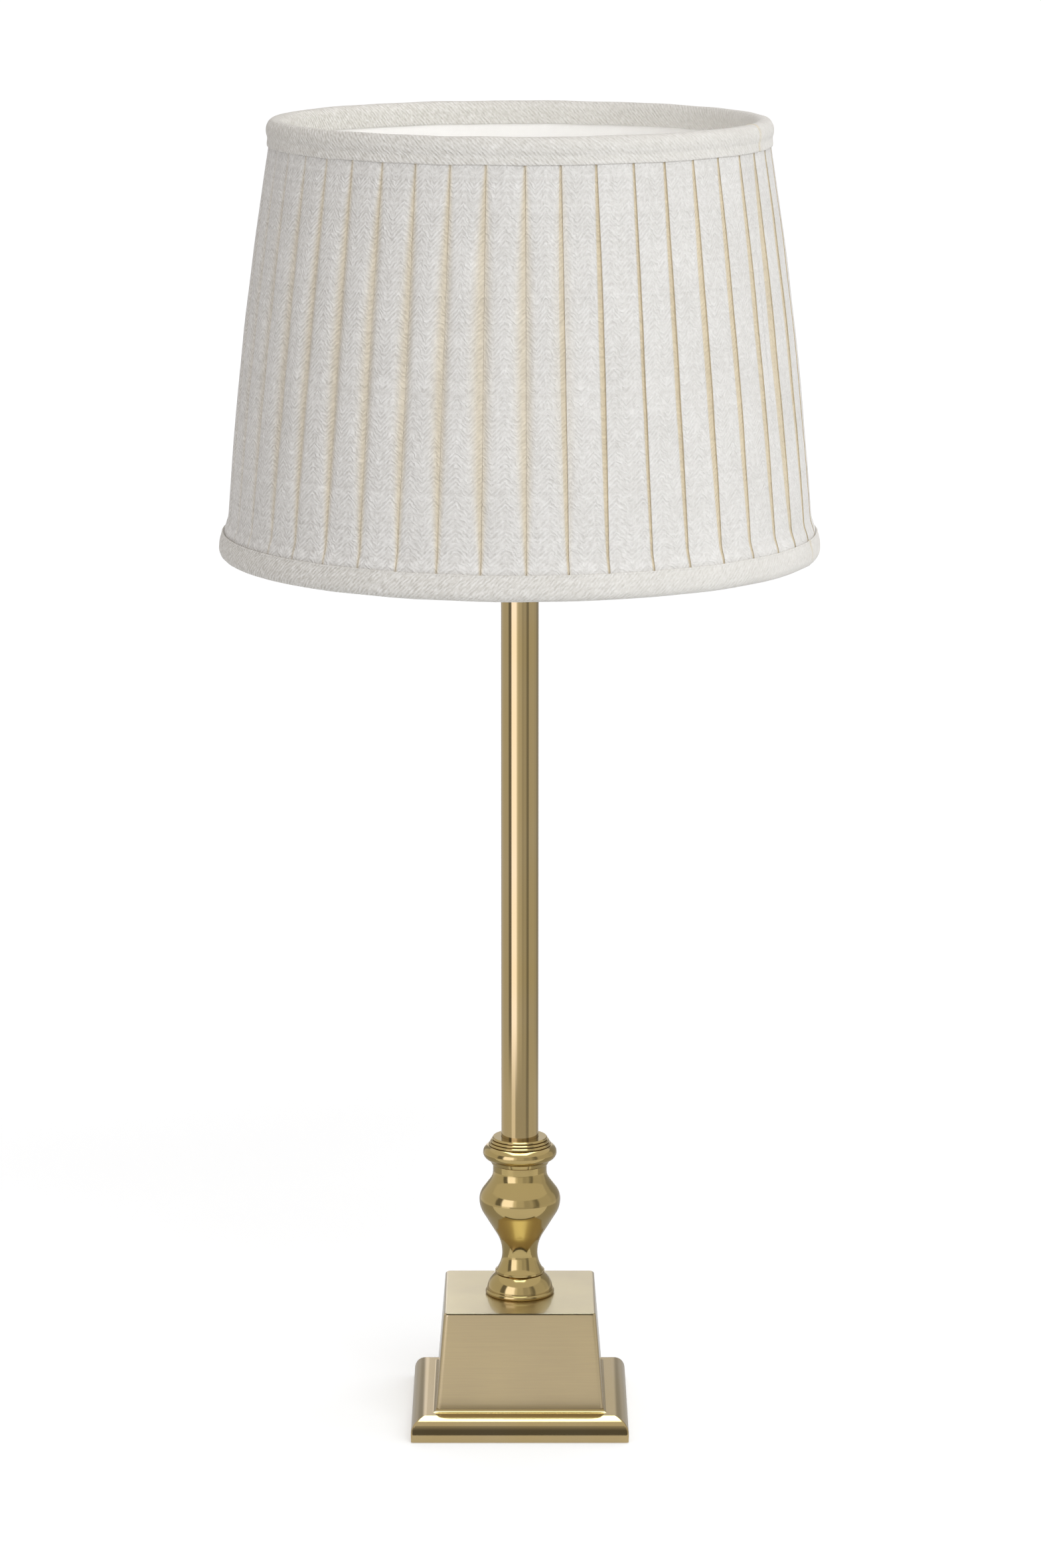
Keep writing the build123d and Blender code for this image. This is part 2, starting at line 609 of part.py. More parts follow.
def make_lower_shade_ring():
    """Ring screwed down the lampholder; the fitter lies on it."""
    seat = HOLDER_BASE + SEAT_LEVEL
    return shade_ring(seat - RING_FLANGE, seat - RING_FLANGE - RING_HUB, seat - RING_FLANGE)


def make_upper_shade_ring():
    """Ring that clamps the fitter from above."""
    low = FITTER_LEVEL + FITTER_THICKNESS + GAP
    return shade_ring(low, low + RING_FLANGE, low + RING_FLANGE + RING_HUB)


def make_switch_bar():
    """Push-through bar of the switch, standing out on the +X side when off."""
    near = HOLDER_SKIRT_RADIUS + SWITCH_STANDOFF
    bar = Rot(0, 90, 0) * Cylinder(SWITCH_RADIUS, 2 * near + SWITCH_TRAVEL)
    knob = Rot(0, 90, 0) * Cylinder(SWITCH_KNOB_RADIUS, SWITCH_KNOB_LENGTH)
    knob = fillet(knob.edges().filter_by(GeomType.CIRCLE), SWITCH_KNOB_EDGE)
    knob_offset = near + SWITCH_KNOB_LENGTH / 2
    right = Pos(knob_offset + SWITCH_TRAVEL, 0, 0) * knob
    left = Pos(-knob_offset, 0, 0) * knob
    bar = Pos(SWITCH_TRAVEL / 2, 0, 0) * bar
    return Pos(0, 0, HOLDER_BASE + SWITCH_HEIGHT) * (bar + right + left)


# ---------------------------------------------------------------- bulb
def bulb_outline(inset):
    """The glass's line from neck to crown, moved inwards by inset."""
    neck = BULB_TIP_LEVEL + BULB_CAP_LENGTH
    waist = BULB_TIP_LEVEL + BULB_LENGTH - BULB_RADIUS
    globe = BULB_RADIUS - inset
    flank = ogee((BULB_NECK_RADIUS - inset, neck), (globe, waist), BULB_NECK_CURVE + inset, globe)
    return flank + CenterArc((0, waist), globe, 0, 90)


def make_bulb_glass():
    """Pear-shaped opal envelope."""
    neck = BULB_TIP_LEVEL + BULB_CAP_LENGTH
    crown = BULB_TIP_LEVEL + BULB_LENGTH
    outline = bulb_outline(0) + Line((0, crown), (0, crown - BULB_WALL)) + bulb_outline(BULB_WALL)
    outline += Line((BULB_NECK_RADIUS - BULB_WALL, neck), (BULB_NECK_RADIUS, neck))
    return turned(outline)


def make_bulb_cap():
    """Screw cap of the bulb, with its insulating cone."""
    low = BULB_TIP_LEVEL + BULB_TIP_HEIGHT
    cone_top = low + BULB_CONE_HEIGHT
    high = BULB_TIP_LEVEL + BULB_CAP_LENGTH
    outline = Polyline(
        (0, low),
        (BULB_TIP_RADIUS + BULB_CAP_EDGE, low),
        (BULB_CAP_RADIUS - BULB_CAP_EDGE, cone_top),
        (BULB_CAP_RADIUS, cone_top + BULB_CAP_EDGE),
        (BULB_CAP_RADIUS, high),
        (0, high),
        (0, low),
    )
    return turned(outline)


def make_bulb_contact():
    """Solder tip at the bottom of the bulb."""
    low = BULB_TIP_LEVEL
    high = low + BULB_TIP_HEIGHT
    outline = TangentArc((0, low), (BULB_TIP_RADIUS, high), tangent=(1, 0))
    outline += Polyline((BULB_TIP_RADIUS, high), (0, high), (0, low))
    return turned(outline)


# ---------------------------------------------------------------- shade
def cover_share(level):
    """Place between the bindings: 0 at the bottom one's edge, 1 at the top one's."""
    return (level - COVER_LOW) / (COVER_HIGH - COVER_LOW)


def cover_radius(level):
    """Radius over the folds of the pleated cover; it is upright inside the bindings."""
    share = min(max(cover_share(level), 0), 1)
    straight = COVER_BOTTOM_RADIUS + share * (COVER_TOP_RADIUS - COVER_BOTTOM_RADIUS)
    bow = COVER_BOW * 4 * share * (1 - share)
    flare = COVER_FLARE if level < COVER_LOW + COVER_FLARE_HEIGHT / 2 else 0
    return straight + bow + flare


def pleat_depth(level):
    """Height of a fold's edge over its neighbour: least where the bindings press it flat."""
    share = min(max(cover_share(level), 0), 1)
    return PLEAT_DEPTH_ENDS + (PLEAT_DEPTH_MIDDLE - PLEAT_DEPTH_ENDS) * 4 * share * (1 - share)


def strut_radius(level):
    """Radius of the struts' centre line, which leans from wire to wire."""
    inset = WIRE_RADIUS + STRUT_RADIUS + SLIDE_FIT
    share = (level - BOTTOM_WIRE_LEVEL) / (TOP_WIRE_LEVEL - BOTTOM_WIRE_LEVEL)
    return BOTTOM_WIRE_RADIUS + share * (TOP_WIRE_RADIUS - BOTTOM_WIRE_RADIUS) - inset


def cover_levels():
    """Heights of the cover's sections, with its hems inside the bindings."""
    low_hem = BOTTOM_WIRE_LEVEL + WIRE_RADIUS + GAP
    high_hem = TOP_WIRE_LEVEL - WIRE_RADIUS - GAP
    free = COVER_HIGH - COVER_LOW
    swell = [COVER_LOW + free * number / COVER_STEPS for number in range(1, COVER_STEPS + 1)]
    return [low_hem, COVER_LOW, COVER_LOW + COVER_FLARE_HEIGHT] + swell + [high_hem]


def pleat_section(level):
    """One level of the knife pleats: each panel sinks to the right and tucks under the next fold."""
    high = cover_radius(level)
    low = high - pleat_depth(level)
    pitch = 360 / PLEATS
    points = []
    for number in range(PLEATS):
        fold = radians(-90 + PLEAT_PHASE + number * pitch)
        tuck = fold - radians(PLEAT_LIP)
        points.append((low * cos(tuck), low * sin(tuck)))
        points.append((high * cos(fold), high * sin(fold)))
    return Pos(0, 0, level) * make_face(Polyline(*points, close=True))


def inner_section(level):
    """One level of the cover's inside: a flat for each pleat, centred on its fold."""
    turn = PLEAT_PHASE - 90 + 180 / PLEATS
    flats = RegularPolygon(cover_radius(level) - COVER_WALL, PLEATS)
    return Pos(0, 0, level) * Rot(0, 0, turn) * flats


def make_pleated_cover():
    """Knife-pleated fabric cover over the shade's frame."""
    levels = cover_levels()
    outside = loft([pleat_section(level) for level in levels], ruled=True)
    inside = loft([inner_section(level) for level in levels], ruled=True)
    return outside - inside


def lining_radius(level):
    """Inside of the lining."""
    return strut_radius(level) - STRUT_RADIUS - GAP - LINING_THICKNESS


def make_shade_lining():
    """Smooth lining inside the struts."""
    low = BOTTOM_WIRE_LEVEL + WIRE_RADIUS + GAP
    high = TOP_WIRE_LEVEL - WIRE_RADIUS - GAP
    outline = Polyline(
        (lining_radius(low), low),
        (lining_radius(low) + LINING_THICKNESS, low),
        (lining_radius(high) + LINING_THICKNESS, high),
        (lining_radius(high), high),
        close=True,
    )
    return turned(outline)


def leaf_radius(level):
    """Outer face of a binding's inner leaf, just inside the lining."""
    return lining_radius(level) - GAP


def make_top_binding():
    """Fabric band folded over the top wire."""
    outer = TOP_BINDING_RADIUS
    low_inside = COVER_HIGH + LEAF_INSET
    shoulder = SHADE_TOP - TOP_FOLD
    slot_top = SHADE_TOP - BINDING_THICKNESS - WIRE_EASE
    inner = leaf_radius(low_inside) - BINDING_THICKNESS
    inner_top = leaf_radius(shoulder) - BINDING_THICKNESS
    outline = Line((outer, COVER_HIGH), (outer, shoulder))
    outline += ThreePointArc((outer, shoulder), ((outer + inner_top) / 2, SHADE_TOP), (inner_top, shoulder))
    outline += Polyline(
        (inner_top, shoulder),
        (inner, low_inside),
        (leaf_radius(low_inside), low_inside),
        (leaf_radius(slot_top), slot_top),
        (outer - BINDING_THICKNESS, slot_top),
        (outer - BINDING_THICKNESS, COVER_HIGH),
        (outer, COVER_HIGH),
    )
    return turned(outline)


def make_bottom_binding():
    """Fabric band rolled round the bottom wire, swelling out below the cover."""
    lip = BOTTOM_LIP_RADIUS
    outer = BOTTOM_BINDING_RADIUS
    roll_level = SHADE_BOTTOM + OUTER_FOLD
    inner_low = SHADE_BOTTOM + INNER_FOLD
    high_inside = COVER_LOW - LEAF_INSET
    slot_floor = SHADE_BOTTOM + BINDING_THICKNESS + WIRE_EASE
    slot_side = outer - 2 * BINDING_THICKNESS
    inner = leaf_radius(high_inside) - BINDING_THICKNESS
    inner_bottom = leaf_radius(inner_low) - BINDING_THICKNESS
    outline = TangentArc((outer, roll_level), (lip, COVER_LOW), tangent=(0, 1))
    outline += CenterArc((outer - OUTER_FOLD, roll_level), OUTER_FOLD, 0, -90)
    outline += Line((outer - OUTER_FOLD, SHADE_BOTTOM), (inner_bottom + INNER_FOLD, SHADE_BOTTOM))
    outline += CenterArc((inner_bottom + INNER_FOLD, inner_low), INNER_FOLD, 270, -90)
    outline += Polyline(
        (inner_bottom, inner_low),
        (inner, high_inside),
        (leaf_radius(high_inside), high_inside),
        (leaf_radius(slot_floor), slot_floor),
        (slot_side, slot_floor),
        (slot_side, roll_level),
        (lip - BINDING_THICKNESS, COVER_LOW),
        (lip, COVER_LOW),
    )
    binding = turned(outline)
    for arm in arm_shapes(ARM_RADIUS + SLIP_FIT):
        binding -= arm
    return binding


def make_wire(radius, level):
    """A round wire hoop."""
    return Pos(0, 0, level) * Torus(radius, WIRE_RADIUS)


def make_top_wire():
    """Hoop inside the top binding."""
    return make_wire(TOP_WIRE_RADIUS, TOP_WIRE_LEVEL)


def make_bottom_wire():
    """Hoop inside the bottom binding; the fitter's arms end on it."""
    return make_wire(BOTTOM_WIRE_RADIUS, BOTTOM_WIRE_LEVEL)


def make_shade_struts():
    """Straight wires that hold the top and bottom hoops apart."""
    low = Vector(strut_radius(BOTTOM_WIRE_LEVEL), 0, BOTTOM_WIRE_LEVEL)
    high = Vector(strut_radius(TOP_WIRE_LEVEL), 0, TOP_WIRE_LEVEL)
    length = (high - low).length
    lean = degrees(atan2(high.X - low.X, high.Z - low.Z))
    middle = (low + high) / 2
    strut = Pos(middle.X, 0, middle.Z) * Rot(0, lean, 0) * Cylinder(STRUT_RADIUS, length)
    return Compound(children=ring_of(strut, STRUTS, start=STRUT_START))


def arm_shapes(radius):
    """The fitter's arms: level at the hoop, rising, then level under the fitter ring."""
    hoop_side = BOTTOM_WIRE_RADIUS - WIRE_RADIUS - SLIDE_FIT
    ring_side = RING_FLANGE_RADIUS + ARM_STANDOFF
    top = FITTER_LEVEL - ARM_RADIUS - SLIDE_FIT
    path = FilletPolyline(
        (hoop_side, 0, BOTTOM_WIRE_LEVEL),
        (hoop_side - ARM_FLAT, 0, BOTTOM_WIRE_LEVEL),
        (ring_side + ARM_FLAT, 0, top),
        (ring_side, 0, top),
        radius=ARM_BEND,
    )
    section = Plane(origin=path @ 0, z_dir=path % 0) * Circle(radius)
    arm = sweep(section, path=path)
    return ring_of(arm, ARMS, start=ARM_START)


def make_fitter_arms():
    """Three bent wires from the bottom hoop to the fitter ring."""
    return Compound(children=arm_shapes(ARM_RADIUS))


def make_fitter_ring():
    """Flat ring that lies between the lampholder's two shade rings."""
    return tube(FITTER_RING_RADIUS, FITTER_BORE, FITTER_LEVEL, FITTER_LEVEL + FITTER_THICKNESS)


# ---------------------------------------------------------------- all pieces
PIECES = {
    "base_foot": make_base_foot,
    "base_felt": make_base_felt,
    "plinth_block": make_plinth_block,
    "base_weight": make_base_weight,
    "cord_grommet": make_cord_grommet,
    "base_washer": make_base_washer,
    "base_nut": make_base_nut,
    "tie_rod": make_tie_rod,
    "baluster_foot": make_baluster_foot,
    "baluster": make_baluster,
    "column_seat": make_column_seat,
    "column_tube": make_column_tube,
    "column_cap": make_column_cap,
    "holder_cap": make_holder_cap,
    "holder_shell": make_holder_shell,
    "holder_core": make_holder_core,
    "screw_shell": make_screw_shell,
    "centre_contact": make_centre_contact,
    "terminal_screws": make_terminal_screws,
    "lower_shade_ring": make_lower_shade_ring,
    "upper_shade_ring": make_upper_shade_ring,
    "switch_bar": make_switch_bar,
    "bulb_glass": make_bulb_glass,
    "bulb_cap": make_bulb_cap,
    "bulb_contact": make_bulb_contact,
    "pleated_cover": make_pleated_cover,
    "shade_lining": make_shade_lining,
    "top_binding": make_top_binding,
    "bottom_binding": make_bottom_binding,
    "top_wire": make_top_wire,
    "bottom_wire": make_bottom_wire,
    "shade_struts": make_shade_struts,
    "fitter_arms": make_fitter_arms,
    "fitter_ring": make_fitter_ring,
}

os.makedirs("parts", exist_ok=True)
for name, make in PIECES.items():
    export_step(make(), f"parts/{name}.step")
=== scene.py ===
"""Looks of the brass candlestick lamp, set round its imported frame.

Everything is in metres. Z is up, the lamp stands on Z = 0 and its front is towards -Y.
"""
import math
import random

import bpy
import numpy as np
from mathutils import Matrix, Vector


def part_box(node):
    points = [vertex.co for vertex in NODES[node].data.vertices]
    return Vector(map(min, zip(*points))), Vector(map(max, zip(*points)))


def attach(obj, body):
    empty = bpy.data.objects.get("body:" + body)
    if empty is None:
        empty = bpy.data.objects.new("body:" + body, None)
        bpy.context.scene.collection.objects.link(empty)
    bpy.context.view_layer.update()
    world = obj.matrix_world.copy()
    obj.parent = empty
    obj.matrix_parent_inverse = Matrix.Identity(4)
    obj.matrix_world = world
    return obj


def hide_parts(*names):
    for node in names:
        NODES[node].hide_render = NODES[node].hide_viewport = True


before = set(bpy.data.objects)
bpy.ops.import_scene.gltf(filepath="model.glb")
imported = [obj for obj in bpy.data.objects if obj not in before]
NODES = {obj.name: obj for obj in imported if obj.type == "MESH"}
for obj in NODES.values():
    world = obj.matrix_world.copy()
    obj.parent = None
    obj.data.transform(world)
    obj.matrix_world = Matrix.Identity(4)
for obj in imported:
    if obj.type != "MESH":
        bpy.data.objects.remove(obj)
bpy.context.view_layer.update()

MM = 0.001

# ---------------------------------------------------------------- sizes read from the frame
TOP_BAND_LOW, TOP_BAND_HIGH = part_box("top_binding")
BOTTOM_BAND_LOW, BOTTOM_BAND_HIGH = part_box("bottom_binding")
SHADE_BOTTOM = BOTTOM_BAND_LOW[2]
SHADE_TOP = TOP_BAND_HIGH[2]
COVER_LOW = BOTTOM_BAND_HIGH[2]
COVER_HIGH = TOP_BAND_LOW[2]
TOP_BAND_RADIUS = TOP_BAND_HIGH[0]
BOTTOM_BAND_RADIUS = BOTTOM_BAND_HIGH[0]
HEM_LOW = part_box("pleated_cover")[0][2]
HEM_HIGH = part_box("pleated_cover")[1][2]
LINING_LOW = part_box("shade_lining")[0][2]
LINING_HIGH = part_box("shade_lining")[1][2]
LINING_BOTTOM_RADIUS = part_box("shade_lining")[1][0]
WIRE_RADIUS = (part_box("top_wire")[1][2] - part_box("top_wire")[0][2]) / 2
TOP_WIRE_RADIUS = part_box("top_wire")[1][0] - WIRE_RADIUS
BOTTOM_WIRE_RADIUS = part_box("bottom_wire")[1][0] - WIRE_RADIUS
FELT_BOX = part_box("base_felt")

# ---------------------------------------------------------------- sizes of the cloth
COVER_TOP_RADIUS = TOP_BAND_RADIUS - 1.0 * MM
COVER_BOTTOM_RADIUS = BOTTOM_BAND_RADIUS - 4.1 * MM
COVER_BOW = 2.0 * MM        # how far the cover swells between the bindings
FLARE = 1.6 * MM            # how far its hem is pushed out at the bottom binding
FLARE_HEIGHT = 9.0 * MM
PLEATS = 44
FIRST_FOLD = math.radians(-90 + 1.0)
PITCH = math.tau / PLEATS
CLOTH_PER_PLEAT = 33.5 * MM
FACE_SHARE = 0.6            # of each pleat's cloth; the rest is tucked under the fold
PLEAT_DEPTH_ENDS = 0.7 * MM
PLEAT_DEPTH_CRISP = 1.15 * MM
PLEAT_DEPTH_SOFT = 1.7 * MM
STRIP_ENDS = 0.8 * MM       # width of the strip that shows before a fold that stands open
STRIP_FRONT = 2.4 * MM
STRIP_SIDE = 3.8 * MM
HAZE_ENDS = 0.7 * MM        # width of the soft painted shade before a fold that lies closed
HAZE_MIDDLE = 3.6 * MM
GAPING = {3: 1.5 * MM, 8: 7.5 * MM, 9: 4.5 * MM}    # folds unlike the others, by number from the front
FOLD_SWING = 0.18           # degrees that a fold wanders sideways on its way up
FOLD_SHIFT = 0.35           # degrees that it is out of its place
FOLD_LIFT = 0.25 * MM
FULLNESS = (0.8, 1.15)      # of its strip and its haze
COVER_SEED = 11
RIPPLE_SEED = 5
RIPPLE = 0.15 * MM
HEM_ROWS = 12
PANEL_ROWS = 44
# Azimuths from the front over which folds turn crisp, turn soft again, gape wider and show haze, a painted
# shade
CRISP_FROM = (math.radians(3), math.radians(15))
CRISP_UNTIL = (math.radians(150), math.radians(175))
SIDE_FROM = (math.radians(20), math.radians(60))
HAZY_FROM = (math.radians(-80), math.radians(-40))
HAZY_LEAST = 0.35           # share of the haze's painted shade that is left where it shows least
SIDE_DEPTH_LOSS = 0.5       # share of its depth that a pleat loses where folds gape wider
SINK_CRISP = (-0.1 * MM, 1.2 * MM)      # where cloth sinks, counted from the strip's far end
SINK_SOFT_ENDS = 3.5 * MM               # over what width it sinks before a soft fold
SINK_SOFT_MORE = 5.5 * MM               # and how much wider that is at mid height
ROLL_SHARE = 0.85           # how much lower a soft fold's edge is rolled, as a share of the depth
ROLL_WIDTH = 2.2 * MM
PAINTED_SHADE_CRISP = (-0.15 * MM, 0.2 * MM)      # where the painted shade in an open fold's strip ends, counted from the strip's far end
HAZE_PLACE = 0.35           # how far before the edge the haze's painted shade is deepest, as a share of its width
PANEL_SLOPE = 0.15          # share of its depth that a panel falls evenly
PANEL_SWELL = 0.5 * MM
PANEL_SWELL_LOSS = 0.3 * MM             # where the next fold is crisp
RIPPLE_TWIST = 9            # radians per metre of height
# Columns of a pleat, in millimetres from its own fold and back from the next fold's strip
PAST_FOLD = (0, 0.3, 0.9, 1.6, 2.4, 3.3, 4.6)
BEFORE_STRIP = (6, 4.4, 3.2, 2.2, 1.4, 0.8, 0.35, -0.05)
IN_STRIP = (0.6, 0.3, 0)    # shares of the strip's width
MIDDLES = (0.25, 0.5, 0.75)
# Columns under a fold, there and back to its edge: place as a share of the tuck, height as one of the step
TUCK = ((0.5, 0), (0.9, 0), (1.0, 0.25), (0.9, 0.5), (0.5, 0.5), (0.06, 0.5),
        (-0.010, 0.06), (-0.013, 0.16), (-0.013, 0.5), (-0.012, 0.85))
BAND_COLUMNS = 528
BAND_STEPS = 5              # on each stretch of a binding's line
PINCH_SHARE = 0.45          # of a binding's swell
RISE_SHARE = 0.8
SEAM_WIDTH = 1.3            # of a binding's seam, in millimetres
SEAM_DEPTH = 0.9 * MM
SEAM_RISE = 0.4 * MM
SEAM_LIP = 0.45 * MM        # the overlap's edge, beside the seam
SEAM_LIP_PLACE = 2.6
SEAM_LIP_WIDTH = 1.4
BOTTOM_SEAM_ANGLE = math.radians(-90 + 74)
TOP_SEAM_ANGLE = math.radians(-90 + 69)
LEAF_INSET = 1.4 * MM       # of the bindings' inner leaves from the lining
LINING_INSET = 0.2 * MM
LINING_ROWS = 24
LINING_COLUMNS = 180
LINING_WAVES = 6            # slow waves round it, as many as there are struts
LINING_WAVE = 0.35 * MM
LINING_SAG = 0.3 * MM
FELT_COLUMNS = 160
FELT_CORNER = 1.7 * MM      # cut off each corner
FELT_RAG = 0.12 * MM
FELT_EDGE = 0.25 * MM
FELT_SEED = 71


# ---------------------------------------------------------------- meshes
def smoothstep(low, high, value):
    """0 below low, 1 above high, with a soft change between."""
    t = np.clip((value - low) / (high - low), 0, 1)
    return t * t * (3 - 2 * t)


def grid_object(name, points, uvs, attributes=None):
    """A mesh from rows of points round the lamp, each row joined to its own start."""
    rows, columns = points.shape[:2]
    faces = []
    corners = []
    for row in range(rows - 1):
        for column in range(columns):
            after = (column + 1) % columns
            faces.append((row * columns + column, row * columns + after,
                          (row + 1) * columns + after, (row + 1) * columns + column))
            corners += [(row, column), (row, column + 1), (row + 1, column + 1), (row + 1, column)]
    mesh = bpy.data.meshes.new(name)
    mesh.from_pydata(points.reshape(-1, 3).tolist(), [], faces)
    layer = mesh.uv_layers.new(name="UVMap")
    flat = np.array([uvs[row, column] for row, column in corners])
    layer.data.foreach_set("uv", flat.ravel())
    for key, values in (attributes or {}).items():
        attribute = mesh.attributes.new(key, "FLOAT", "POINT")
        attribute.data.foreach_set("value", values.reshape(-1))
    mesh.polygons.foreach_set("use_smooth", [True] * len(faces))
    mesh.update()
    made = bpy.data.objects.new(name, mesh)
    bpy.context.scene.collection.objects.link(made)
    return made


def smooth_line(points, steps):
    """A Catmull-Rom line through the points, with steps samples on each stretch."""
    p = np.array([points[0], *points, points[-1]], float)
    line = []
    for i in range(1, len(p) - 2):
        for t in np.arange(steps) / steps:
            line.append(0.5 * ((2 * p[i]) + (p[i + 1] - p[i - 1]) * t
                               + (2 * p[i - 1] - 5 * p[i] + 4 * p[i + 1] - p[i + 2]) * t ** 2
                               + (3 * p[i] - p[i - 1] - 3 * p[i + 1] + p[i + 2]) * t ** 3))
    line.append(p[-2])
    return np.array(line)


def waves(seed, count, low, high):
    """Random sines for slow irregularity round the lamp: whole numbers of waves, phases and sizes."""
    picker = random.Random(seed)
    return [(picker.randint(low, high), picker.uniform(0, math.tau), picker.uniform(0.4, 1))
            for _ in range(count)]


def wavy(angle, sines):
    """Sum of the sines at an angle, from about -1 to 1."""
    total = sum(size * np.sin(number * angle + phase) for number, phase, size in sines)
    return total / math.sqrt(len(sines))


# ---------------------------------------------------------------- materials
def material(name):
    """An empty node material: the material, its node tree and its principled shader."""
    made = bpy.data.materials.new(name)
    made.use_nodes = True
    tree = made.node_tree
    return made, tree, tree.nodes["Principled BSDF"]


def math_node(tree, operation, a, b=None, c=None):
    """A math node; a, b and c are sockets or numbers."""
    made = tree.nodes.new("ShaderNodeMath")
    made.operation = operation
    for index, value in enumerate((a, b, c)):
        if value is None:
            continue
        if isinstance(value, (int, float)):
            made.inputs[index].default_value = value
        else:
            tree.links.new(value, made.inputs[index])
    return made.outputs[0]


def ramp(tree, factor, stops):
    """A colour ramp from (position, colour) pairs."""
    made = tree.nodes.new("ShaderNodeValToRGB")
    elements = made.color_ramp.elements
    while len(elements) < len(stops):
        elements.new(0.5)
    for element, (position, colour) in zip(elements, stops):
        element.position = position
        element.color = (*colour, 1)
    tree.links.new(factor, made.inputs[0])
    return made.outputs[0]


def mix(tree, factor, a, b, blend="MIX"):
    """A colour mix; a and b are sockets or colours."""
    made = tree.nodes.new("ShaderNodeMix")
    made.data_type = "RGBA"
    made.blend_type = blend
    for index, value in ((0, factor), (6, a), (7, b)):
        if isinstance(value, (int, float)):
            made.inputs[index].default_value = value
        elif isinstance(value, tuple):
            made.inputs[index].default_value = (*value, 1)
        else:
            tree.links.new(value, made.inputs[index])
    return made.outputs[2]


def coordinates(tree, scale=(1, 1, 1), kind="Object"):
    """Object or UV coordinates, scaled."""
    source = tree.nodes.new("ShaderNodeTexCoord")
    mapping = tree.nodes.new("ShaderNodeMapping")
    mapping.inputs["Scale"].default_value = scale
    tree.links.new(source.outputs[kind], mapping.inputs["Vector"])
    return mapping.outputs[0]


def noise_value(tree, vector, scale, detail, roughness=0.5):
    """Value of a noise texture."""
    made = tree.nodes.new("ShaderNodeTexNoise")
    made.inputs["Scale"].default_value = scale
    made.inputs["Detail"].default_value = detail
    made.inputs["Roughness"].default_value = roughness
    tree.links.new(vector, made.inputs["Vector"])
    return made.outputs[0]


def to_range(tree, value, low, high, from_low=0.0, from_high=1.0):
    """The value moved from one range to another."""
    made = tree.nodes.new("ShaderNodeMapRange")
    made.inputs["From Min"].default_value = from_low
    made.inputs["From Max"].default_value = from_high
    made.inputs["To Min"].default_value = low
    made.inputs["To Max"].default_value = high
    tree.links.new(value, made.inputs["Value"])
    return made.outputs[0]


def bump(tree, height, distance, shader):
    """Bump from a height socket into a shader's normal."""
    made = tree.nodes.new("ShaderNodeBump")
    made.inputs["Distance"].default_value = distance
    tree.links.new(height, made.inputs["Height"])
    tree.links.new(made.outputs[0], shader.inputs["Normal"])


BRASS = (0.42, 0.318, 0.145)
BRASS_DEEP = (0.42, 0.32, 0.13)
BRASS_PALE = (0.43, 0.335, 0.185)
BRASS_SATIN = (0.47, 0.368, 0.195)
BRASS_COLOUR_SCALE = 28     # of the slow change between its two colours, in waves per metre
BRASS_POLISH_SCALE = 45
BRASS_SKIN_SCALE = 60
BRASS_SKIN = 0.003          # depth of its unevenness, in millimetres
LACQUER_ROUGHNESS = 0.06


def brass(name, colour, other, roughness, grain=None, grain_depth=0.0, coat=0.0):
    """Brass: slow colour change, uneven polish, and a grain that is fine along some axes.

    A grain with a depth is turned and dents the surface; one without is brushed and only colours it.
    The coat is lacquer.
    """
    made, tree, shader = material(name)
    place = coordinates(tree)
    slow = to_range(tree, noise_value(tree, place, BRASS_COLOUR_SCALE, 1), 0, 1, 0.2, 0.8)
    polish = noise_value(tree, place, BRASS_POLISH_SCALE, 1)
    smudges = to_range(tree, polish, roughness * 0.9, roughness * 1.15, 0.2, 0.8)
    height = math_node(tree, "MULTIPLY", noise_value(tree, place, BRASS_SKIN_SCALE, 1), BRASS_SKIN)
    if grain:
        lines = noise_value(tree, coordinates(tree, grain), 1, 3, 0.7)
        if grain_depth:
            height = math_node(tree, "ADD", height, math_node(tree, "MULTIPLY", lines, grain_depth / MM))
        else:
            brushed = to_range(tree, lines, -0.35, 0.35, 0.3, 0.7)
            slow = math_node(tree, "ADD", slow, brushed)
    tree.links.new(mix(tree, slow, colour, other), shader.inputs["Base Color"])
    tree.links.new(smudges, shader.inputs["Roughness"])
    shader.inputs["Metallic"].default_value = 1
    shader.inputs["Coat Weight"].default_value = coat
    shader.inputs["Coat Roughness"].default_value = LACQUER_ROUGHNESS
    if grain_depth or not grain:
        bump(tree, height, MM, shader)
    return made


def plain(name, colour, other, roughness, scale, metallic=0.0, depth=0.05 * MM):
    """A surface with a little colour change and a fine uneven skin."""
    made, tree, shader = material(name)
    grain = noise_value(tree, coordinates(tree), scale, 4, 0.6)
    spread = to_range(tree, grain, 0, 1, 0.3, 0.7)
    tree.links.new(mix(tree, spread, colour, other), shader.inputs["Base Color"])
    uneven = to_range(tree, grain, roughness * 0.85, roughness * 1.15, 0.3, 0.7)
    tree.links.new(uneven, shader.inputs["Roughness"])
    shader.inputs["Metallic"].default_value = metallic
    bump(tree, grain, depth, shader)
    return made


